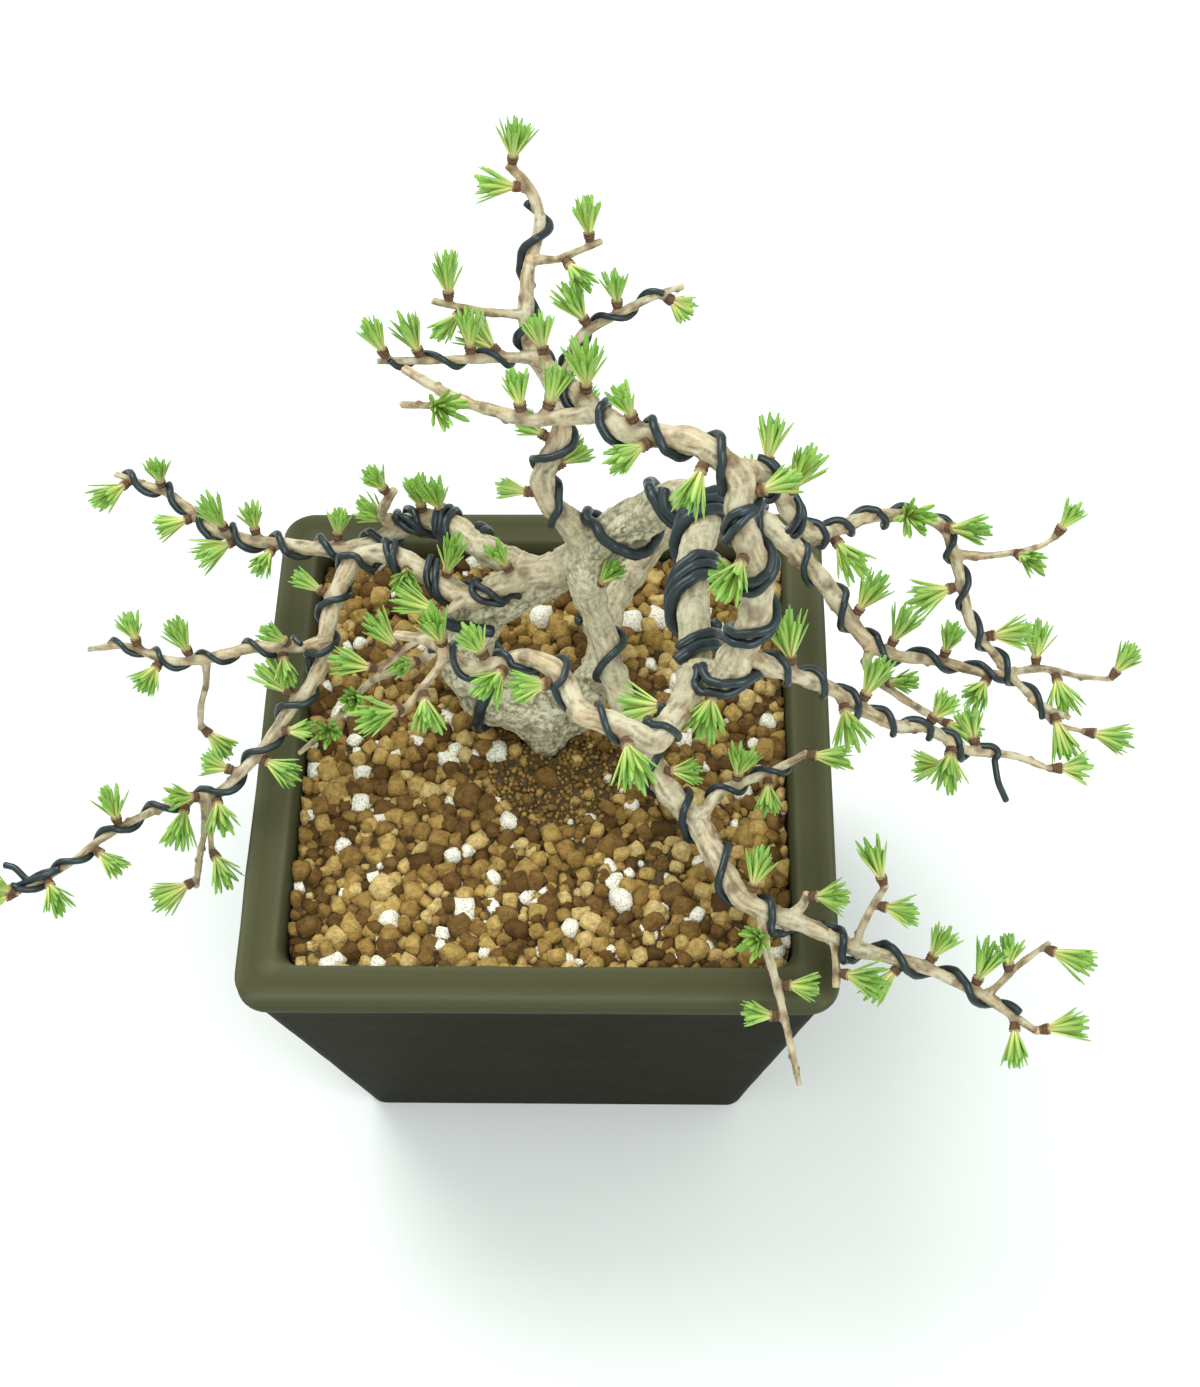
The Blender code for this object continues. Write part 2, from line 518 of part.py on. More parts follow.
def tuft_rows(root, way, seed):
    """The tuft's spur and needles as rows to test for room."""
    axis, _, _, ways = needle_ways(way, seed)
    middle = Vector(root[:3])
    crown = middle + axis * (root[3] + SPUR_LENGTH + 0.4)
    rows = [(*middle, *crown, root[3] * SPUR_FOOT, SPUR_RADIUS + 0.1)]
    rows += [(*crown, *(crown + needle), 0.8, 0.15) for needle in ways]
    return np.array(rows)


def tuft(name, root, way, seed):
    """A spur shoot whose domed top has a needle on each facet, sunk into its stem."""
    axis, side, up, ways = needle_ways(way, seed)
    n = NEEDLES_ROUND
    turn = math.pi / n

    def ring(height, radius, twist):
        middle = Vector(root[:3]) + axis * height
        angles = [turn * 2 * k + twist for k in range(n)]
        return [middle + (side * math.cos(a) + up * math.sin(a)) * radius for a in angles]

    height = root[3] + SPUR_LENGTH
    points = ring(0, root[3] * SPUR_FOOT, -turn) + ring(height, SPUR_RADIUS, -turn)
    points += ring(height + SPUR_DOME * 0.75, SPUR_RADIUS * 0.62, 0)
    points += [Vector(root[:3]) - axis * 0.1, Vector(root[:3]) + axis * (height + SPUR_DOME)]
    foot, crown = 3 * n, 3 * n + 1
    faces = []
    needles = []
    for k in range(n):
        after = (k + 1) % n
        faces += [(foot, after, k), (k, after, n + after, n + k)]
        needles.append((n + k, n + after, 2 * n + k))
        faces.append((n + after, 2 * n + after, 2 * n + k))
    for k in range(n):
        needles.append((2 * n + k, 2 * n + (k + 1) % n, crown))
    for base, needle in zip(needles, ways):
        middle = sum((points[i] for i in base), Vector()) / 3
        points.append(middle + needle)
        tip = len(points) - 1
        faces += [(base[0], base[1], tip), (base[1], base[2], tip), (base[2], base[0], tip)]
    return new_object(name, points, faces, "foliage")


def compass(heading, lift):
    a, b = math.radians(heading), math.radians(lift)
    return np.array((math.cos(b) * math.cos(a), math.cos(b) * math.sin(a), math.sin(b)))


def placed_tuft(path, place, heading, lift, seed, blocked):
    """Where a tuft stands: as wanted, or slid and turned a little to where it has room."""
    along = arc_lengths(path)
    best = None
    for slide in (0, 1.5, -1.5, 3, -3, 4.5, -4.5, 6, -6):
        for swing in (0, 25, -25, 50, -50):
            s = min(max(place + slide, 1), along[-1])
            middle = np.array([np.interp(s, along, path[:, k]) for k in range(4)])
            i = min(int(np.searchsorted(along, s)), len(path) - 1)
            run = path[i, :3] - path[i - 1, :3]
            run /= np.linalg.norm(run)
            way = compass(heading + swing, lift)
            flat = way - run * way.dot(run)
            flat /= max(np.linalg.norm(flat), 1e-6)
            at_tip = along[-1] - s < 3
            least, most = (0.5, 0.9) if at_tip else (-STEEPEST_LEAN, STEEPEST_LEAN)
            lean = float(np.clip(way.dot(run), least, most))
            way = run * lean + flat * math.sqrt(1 - lean * lean)
            rows = tuft_rows(middle, way, seed)
            shares = np.linspace(0, 1, 12)
            spots = np.vstack([rows[:, :3] + (rows[:, 3:6] - rows[:, :3]) * t for t in shares])
            sizes = np.concatenate([rows[:, 6] + (rows[:, 7] - rows[:, 6]) * t for t in shares])
            clear = (room(spots, blocked)[0] - sizes).min()
            if best is None or clear > best[0]:
                best = (clear, middle, way)
            if clear > TUFT_ROOM:
                return middle, way
    return best[1], best[2]


def rounded_square(half, corner, height):
    """A level square loop with rounded corners."""
    points = []
    for quarter in range(4):
        for step in range(CORNER_STEPS + 1):
            angle = math.pi / 2 * (quarter + step / CORNER_STEPS)
            sx = 1 if quarter in (0, 3) else -1
            sy = 1 if quarter in (0, 1) else -1
            points.append((sx * (half - corner) + corner * math.cos(angle),
                           sy * (half - corner) + corner * math.sin(angle), height))
    return points


def lofted(name, loops, finish):
    """A closed body through loops of the same count, with a flat face on the first and the last."""
    count = len(loops[0])
    points = [p for loop in loops for p in loop]
    faces = [tuple(reversed(range(count))), tuple(range(len(points) - count, len(points)))]
    for i in range(len(loops) - 1):
        for k in range(count):
            a, b = i * count + k, i * count + (k + 1) % count
            faces.append((a, b, b + count, a + count))
    return new_object(name, points, faces, finish)


def cylinder(name, x, y, low, high, radius, sides=16):
    angles = [2 * math.pi * k / sides for k in range(sides)]
    loops = [[(x + radius * math.cos(a), y + radius * math.sin(a), z) for a in angles] for z in (low, high)]
    return lofted(name, loops, "glaze")


def inner_half(height):
    """Half the width of the pot's inside at a height."""
    share = (height - POT_FLOOR) / (POT_HEIGHT - POT_FLOOR)
    return INNER_FLOOR_HALF + (RIM_HALF - LIP_WIDTH - INNER_FLOOR_HALF) * share


def inner_corner(height):
    """The radius of the inside's corners at a height."""
    share = (height - POT_FLOOR) / (POT_HEIGHT - POT_FLOOR)
    return BASE_CORNER + (RIM_CORNER - 2 - BASE_CORNER) * share


def build_pot():
    """The pot as one loft, from its foot up the wall, over the rolled lip and down the inside."""
    wall_top = POT_HEIGHT - LIP_DROP
    under_lip = RIM_HALF - LIP_PROUD
    inside = POT_HEIGHT - 1.6
    profile = [
        (BASE_HALF - 0.9, BASE_CORNER, 0),
        (BASE_HALF, BASE_CORNER, 0.9),
        (under_lip - 0.4, RIM_CORNER - 1, wall_top - 1.5),
        (RIM_HALF - 0.5, RIM_CORNER, wall_top),
        (RIM_HALF, RIM_CORNER, wall_top + 1.2),
        (RIM_HALF, RIM_CORNER, POT_HEIGHT - 2.2),
        (RIM_HALF - 0.7, RIM_CORNER, POT_HEIGHT - 0.7),
        (RIM_HALF - 2.2, RIM_CORNER, POT_HEIGHT),
        (RIM_HALF - LIP_WIDTH + 1.6, RIM_CORNER - 2, POT_HEIGHT - 0.2),
        (inner_half(inside), inner_corner(inside), inside),
        (INNER_FLOOR_HALF, BASE_CORNER, POT_FLOOR),
    ]
    pot = lofted("pot", [rounded_square(*ring) for ring in profile], "glaze")
    holes = [cylinder("drain", x, 0, -1, POT_FLOOR + 1, DRAIN_RADIUS) for x in (-DRAIN_X, DRAIN_X)]
    return joined(pot, holes, "DIFFERENCE")


def box(name, low, high, finish):
    corners = [(low[0], low[1]), (high[0], low[1]), (high[0], high[1]), (low[0], high[1])]
    loops = [[(x, y, z) for x, y in corners] for z in (low[2], high[2])]
    return lofted(name, loops, finish)


def build_screens():
    """A square of coarse plastic mesh over each drain hole."""
    half = SCREEN_SIZE / 2
    low, high = POT_FLOOR + GAP, POT_FLOOR + GAP + SCREEN_THICK
    pitch = (SCREEN_SIZE - SCREEN_BAR) / SCREEN_HOLES
    for name, x in (("screen_left", -DRAIN_X), ("screen_right", DRAIN_X)):
        screen = box(name, (x - half, -half, low), (x + half, half, high), "screen_plastic")
        holes = []
        for i in range(SCREEN_HOLES):
            for j in range(SCREEN_HOLES):
                a, b = x - half + SCREEN_BAR + i * pitch, -half + SCREEN_BAR + j * pitch
                side = pitch - SCREEN_BAR
                hole = box("hole", (a, b, low - 1), (a + side, b + side, high + 1), "screen_plastic")
                holes.append(hole)
        joined(screen, holes, "DIFFERENCE")


def build_soil(trunk_cutter):
    """Gritty soil that fills the pot, its surface raised and sunk like the grains that cover it."""
    draw = np.random.default_rng(11)
    cells, reach = SOIL_CELLS, inner_half(SOIL_TOP) + 2
    pitch = 2 * reach / cells
    points, faces = [], []
    for j in range(cells + 1):
        for i in range(cells + 1):
            x = -reach + (i + draw.uniform(-0.28, 0.28)) * pitch
            y = -reach + (j + draw.uniform(-0.28, 0.28)) * pitch
            mound = MOUND_HEIGHT * math.exp(-((x + 4) ** 2 + (y - 4) ** 2) / MOUND_REACH**2)
            grain = GRAIN_RELIEF * (1 if (i + j) % 2 else -1) * draw.uniform(0.3, 1)
            points.append((x, y, SOIL_TOP + mound + grain))
    row = cells + 1
    for j in range(cells):
        for i in range(cells):
            a = j * row + i
            if (i + j) % 2:
                faces += [(a, a + 1, a + row), (a + 1, a + row + 1, a + row)]
            else:
                faces += [(a, a + 1, a + row + 1), (a, a + row + 1, a + row)]
    rim = list(range(row))
    rim += [(j + 1) * row - 1 for j in range(1, row)]
    rim += [row * row - 1 - k for k in range(1, row)]
    rim += [j * row for j in range(cells - 1, 0, -1)]
    below = len(points)
    points += [(points[k][0], points[k][1], POT_FLOOR - 5) for k in rim]
    for k in range(len(rim)):
        after = (k + 1) % len(rim)
        faces.append((rim[after], rim[k], below + k, below + after))
    faces.append(tuple(below + k for k in reversed(range(len(rim)))))
    soil = new_object("soil", points, faces, "soil")
    ends = (POT_FLOOR + GAP, POT_HEIGHT - 1.6)
    loops = [rounded_square(inner_half(z) - GAP, inner_corner(z), z) for z in ends]
    joined(soil, [lofted("cavity", loops, "soil")], "INTERSECT")
    half = SCREEN_SIZE / 2 + GAP
    top = POT_FLOOR + 2 * GAP + SCREEN_THICK
    pockets = [box("pocket", (x - half, -half, 0), (x + half, half, top), "soil")
               for x in (-DRAIN_X, DRAIN_X)]
    return joined(soil, pockets + [trunk_cutter], "DIFFERENCE")


def build_trunk(swell=0.0, name="trunk"):
    """The trunk's sweep and the lobes of its old foot as one body."""
    trunk = tube(name, smooth_route(TRUNK, TRUNK_STEP), TRUNK_SIDES, "bark", swell, old_bark)
    lobes = [tube("lobe", smooth_route(lobe, LOBE_STEP), LOBE_SIDES, "bark", swell, old_bark)
             for lobe in (FOOT_LOBE, SHOULDER)]
    return joined(trunk, lobes)


def stem_tube(samples, swell=0.0):
    return tube("stem", samples, STEM_SIDES, "bark", swell, young_bark)


def cutter_for(name):
    """The parent's wood with a hair added all round, for a branch to be let into."""
    if name == "trunk":
        return build_trunk(GAP + 0.15, "trunk_cutter")
    return stem_tube(smooth_route(BRANCHES[name][0]["route"], STEM_STEP), GAP + 0.15)


def all_paths():
    """Every stem's samples, by node."""
    paths = {"trunk": [smooth_route(TRUNK, TRUNK_STEP)]}
    paths["trunk"] += [smooth_route(lobe, LOBE_STEP) for lobe in (FOOT_LOBE, SHOULDER)]
    for name, stems in BRANCHES.items():
        paths[name] = [smooth_route(s["route"], STEM_STEP) for s in stems]
    return paths


def build_wires(paths, trunk):
    """Every wire, each kept clear of the wood and of the wires made before it."""
    wood = {name: [segments(p, 0.1 * p[:, 3:].max()) for p in group] for name, group in paths.items()}
    corners = [v.co / MM for v in trunk.data.vertices]
    surface = BVHTree.FromPolygons(corners, [tuple(f.vertices) for f in trunk.data.polygons])
    made = {}
    for name, (host, number, radius, pitch, first, last, angle, tail) in WIRES.items():
        on_trunk = host == "trunk"
        stems = [{"route": TRUNK}] if on_trunk else BRANCHES[host]
        near = [node for node in wood if not (on_trunk and node == "trunk")]
        blocked = [rows for node in near for rows in wood[node]]
        blocked = np.vstack(blocked + [segments(p) for p in made.values()])
        bark = surface if on_trunk else None
        path = wound(stems, number, radius, pitch, first, last, angle, tail, blocked, bark)
        made[name] = path
        tube(name, path, WIRE_SIDES, "wire")
    return made


def build_branches(paths, wires):
    """Each branch with its twigs, spurs and needles as one body, let into what it grows from."""
    placed = {}
    for number, (name, stems) in enumerate(BRANCHES.items()):
        others = [segments(p) for p in wires.values()]
        others += [segments(p, 0.3) for node, group in paths.items() if node != name for p in group]
        others += [rows for group in placed.values() for rows in group]
        bodies = [stem_tube(path) for path in paths[name]]
        placed[name] = []
        for k, one in enumerate(stems):
            for m, (place, heading, lift) in enumerate(one["tufts"]):
                seed = number * 1000 + k * 50 + m
                root, way = placed_tuft(paths[name][k], place, heading, lift, seed, np.vstack(others))
                others.append(tuft_rows(root, way, seed))
                placed[name].append(others[-1])
                bodies.append(tuft("tuft", root, way, seed))
        branch, *rest = bodies
        branch.name = name
        joined(branch, rest)
        joined(branch, [cutter_for(parent) for parent in GROWS_FROM[name]], "DIFFERENCE")
        drop_scraps(branch)


def drop_scraps(obj):
    """Keeps the largest body, without the crumbs that the cut at the root can leave."""
    work = bmesh.new()
    work.from_mesh(obj.data)
    left = set(work.verts)
    bodies = []
    while left:
        body, edge = set(), {left.pop()}
        while edge:
            body |= edge
            edge = {e.other_vert(v) for v in edge for e in v.link_edges} - body
        left -= body
        bodies.append(body)
    largest = max(bodies, key=len)
    bmesh.ops.delete(work, geom=[v for v in work.verts if v not in largest], context="VERTS")
    work.to_mesh(obj.data)
    work.free()


def shade(obj, degrees=40):
    obj.data.shade_smooth()
    obj.data.set_sharp_from_angle(angle=math.radians(degrees))


def main():
    clear_file()
    build_pot()
    build_screens()
    build_soil(build_trunk(3 * GAP, "trunk_cutter"))
    trunk = build_trunk()
    paths = all_paths()
    wires = build_wires(paths, trunk)
    build_branches(paths, wires)
    for obj in bpy.data.objects:
        shade(obj)


main()
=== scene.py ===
"""A small larch bonsai in a square tapered pot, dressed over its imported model.

The stem routes, tufts and wires are the model's own, in millimetres. Everything made from them is in
metres, +Z up, with the origin at the centre of the pot's flat underside and the tree's front facing -Y.
"""

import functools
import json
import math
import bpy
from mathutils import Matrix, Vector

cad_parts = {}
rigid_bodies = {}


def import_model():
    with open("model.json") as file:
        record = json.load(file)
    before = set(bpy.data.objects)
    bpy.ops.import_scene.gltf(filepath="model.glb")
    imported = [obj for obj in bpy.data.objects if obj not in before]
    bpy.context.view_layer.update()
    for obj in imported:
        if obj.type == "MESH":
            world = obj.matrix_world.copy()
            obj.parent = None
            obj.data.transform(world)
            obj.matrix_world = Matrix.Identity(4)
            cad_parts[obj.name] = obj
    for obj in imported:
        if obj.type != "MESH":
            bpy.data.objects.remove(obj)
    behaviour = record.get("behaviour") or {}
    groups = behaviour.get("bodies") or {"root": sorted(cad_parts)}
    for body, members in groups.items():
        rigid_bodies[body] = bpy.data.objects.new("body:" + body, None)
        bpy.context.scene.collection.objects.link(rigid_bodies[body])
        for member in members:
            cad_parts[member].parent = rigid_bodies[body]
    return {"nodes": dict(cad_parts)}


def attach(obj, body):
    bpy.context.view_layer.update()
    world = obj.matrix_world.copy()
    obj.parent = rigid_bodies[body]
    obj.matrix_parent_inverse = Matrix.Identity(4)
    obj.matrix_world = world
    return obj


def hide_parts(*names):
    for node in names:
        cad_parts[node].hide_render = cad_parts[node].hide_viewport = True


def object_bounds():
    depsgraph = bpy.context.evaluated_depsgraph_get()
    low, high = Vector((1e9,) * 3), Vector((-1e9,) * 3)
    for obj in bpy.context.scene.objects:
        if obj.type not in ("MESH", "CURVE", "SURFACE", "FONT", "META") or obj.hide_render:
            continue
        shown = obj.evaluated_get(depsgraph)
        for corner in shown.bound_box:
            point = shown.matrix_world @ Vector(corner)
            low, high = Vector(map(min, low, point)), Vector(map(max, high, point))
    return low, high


bl_info = {
    "name": "Larch Bonsai",
    "version": (1, 0, 0),
    "blender": (4, 5, 0),
    "location": "View3D > Sidebar > Bonsai",
    "description": "Builds a wired larch bonsai in its pot: glaze, grains, bark, wire, spurs and needles",
    "category": "Add Mesh",
}

import bmesh
import bpy
import numpy as np
from mathutils import Matrix, Vector, noise
from mathutils.bvhtree import BVHTree

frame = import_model()
CAD_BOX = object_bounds()

MM = 0.001

# The pot: half widths and heights in mm
RIM_HALF = 75.0
BASE_HALF = 54.5
POT_HEIGHT = 115.0
LIP_WIDTH = 10.5
LIP_DROP = 8.0
LIP_PROUD = 1.6
INNER_FLOOR_HALF = 47.5
POT_FLOOR = 9.0
RIM_CORNER = 8.0
BASE_CORNER = 5.0
CORNER_STEPS = 9
SIDE_STEPS = 10
FOOT_ROUND = 0.9
LIP_ROUND = (2.2, 2.4)  # how far in and how far down the lip's outer edge is rounded
DRAIN_RADIUS = 7.0
DRAIN_X = 22.0

# How the model's spurs and wires are laid out, in mm
TRUNK_STEP = 6.5
LOBE_STEP = 5
STEM_STEP = 7.0
SPUR_RADIUS = 1.4
SPUR_LENGTH = 2.3
SPUR_FOOT = 0.66
NEEDLE_LENGTH = 6.8
NEEDLE_VARIETY = 0.24
NEEDLES_ROUND = 4
INNER_SPREAD = 13
OUTER_SPREAD = 31
STEEPEST_LEAN = 0.6
TUFT_ROOM = 0.55
CHORDS_PER_TURN = 6
WIRE_CLEARANCE = 0.45
WIRE_PUSHES = 6
WIRE_FLOOR = 110.8

# Fine wood and wire, in mm
FINE_STEP = 0.8
FINE_SIDES = 18
TRUNK_SIDES = 32
LOBE_SIDES = 24
STUMP_LENGTH = 9  # of each branch's root that the trunk's skin takes in
TRUNK_VOXEL = 0.55
BRANCH_VOXEL = 0.46
BARK_SEED = 5
YOUNG_RADIUS = 2.4  # wood under this has young bark
AGEING = 3.6  # how much thicker it is when its bark is old
GRAIN_GAP = 200  # between two stems' places along the grain, so that their bark differs
BATCH = 3000  # vertices looked up at a time
RIDGE = 0.16
CRACK_WIDTH = 0.16
CRACK_DEPTH = 0.5
LUMP_HEIGHT = 0.9
WIRE_STEP = 0.75
THICK_WIRE = 1.2
WIRE_REACH = 3  # a wire this near the bark is drawn on to it
WIRE_TURNS = 7  # rounds of that
CUT_BEVEL = 0.18

# Thick wood, as (x, y, z, radius) in mm, from the foot upwards
TRUNK = [
    (0, 6, 84, 5.5), (0, 6, 97, 6.0), (0, 6, 108, 6.4), (0, 7, 112.5, 7.6), (-1, 8, 116, 8.6),
    (-4, 8, 119, 8.0), (-9, 8, 121.5, 7.2), (-14, 8.5, 124.5, 6.9), (-18, 11, 129.5, 6.8),
    (-19.5, 14, 136, 6.8), (-17.5, 17, 142.5, 6.8), (-13, 19.5, 148, 6.4), (-7, 21, 152.5, 5.9),
    (0, 21.5, 156.5, 5.6), (8, 22, 162, 5.5), (15, 22, 169, 5.7), (20.5, 22.5, 175.5, 5.9),
    (26, 23, 181, 5.6), (31, 22.5, 186, 5.2), (36, 21, 190.5, 4.8), (40, 16, 194, 4.5),
    (40.5, 9, 196.5, 4.2), (39, 1, 198, 4.0), (38, -7, 199, 3.9), (38, -16, 199.8, 3.8),
    (38.5, -26, 200.5, 3.8), (38, -37, 202, 3.8),
]
FOOT_LOBE = [(1, 8, 112, 7.4), (7, 9.5, 114.5, 6.3), (13, 13.5, 118.5, 4.8)]
SHOULDER = [(-7, 8, 120, 6.5), (-13, 7.5, 122, 6.6), (-18, 9.5, 126, 6.0)]


def stem(route, tufts=()):
    """A stem's route, and its tufts as (mm along the stem, compass heading from +X, lift), in degrees."""
    return {"route": route, "tufts": list(tufts)}


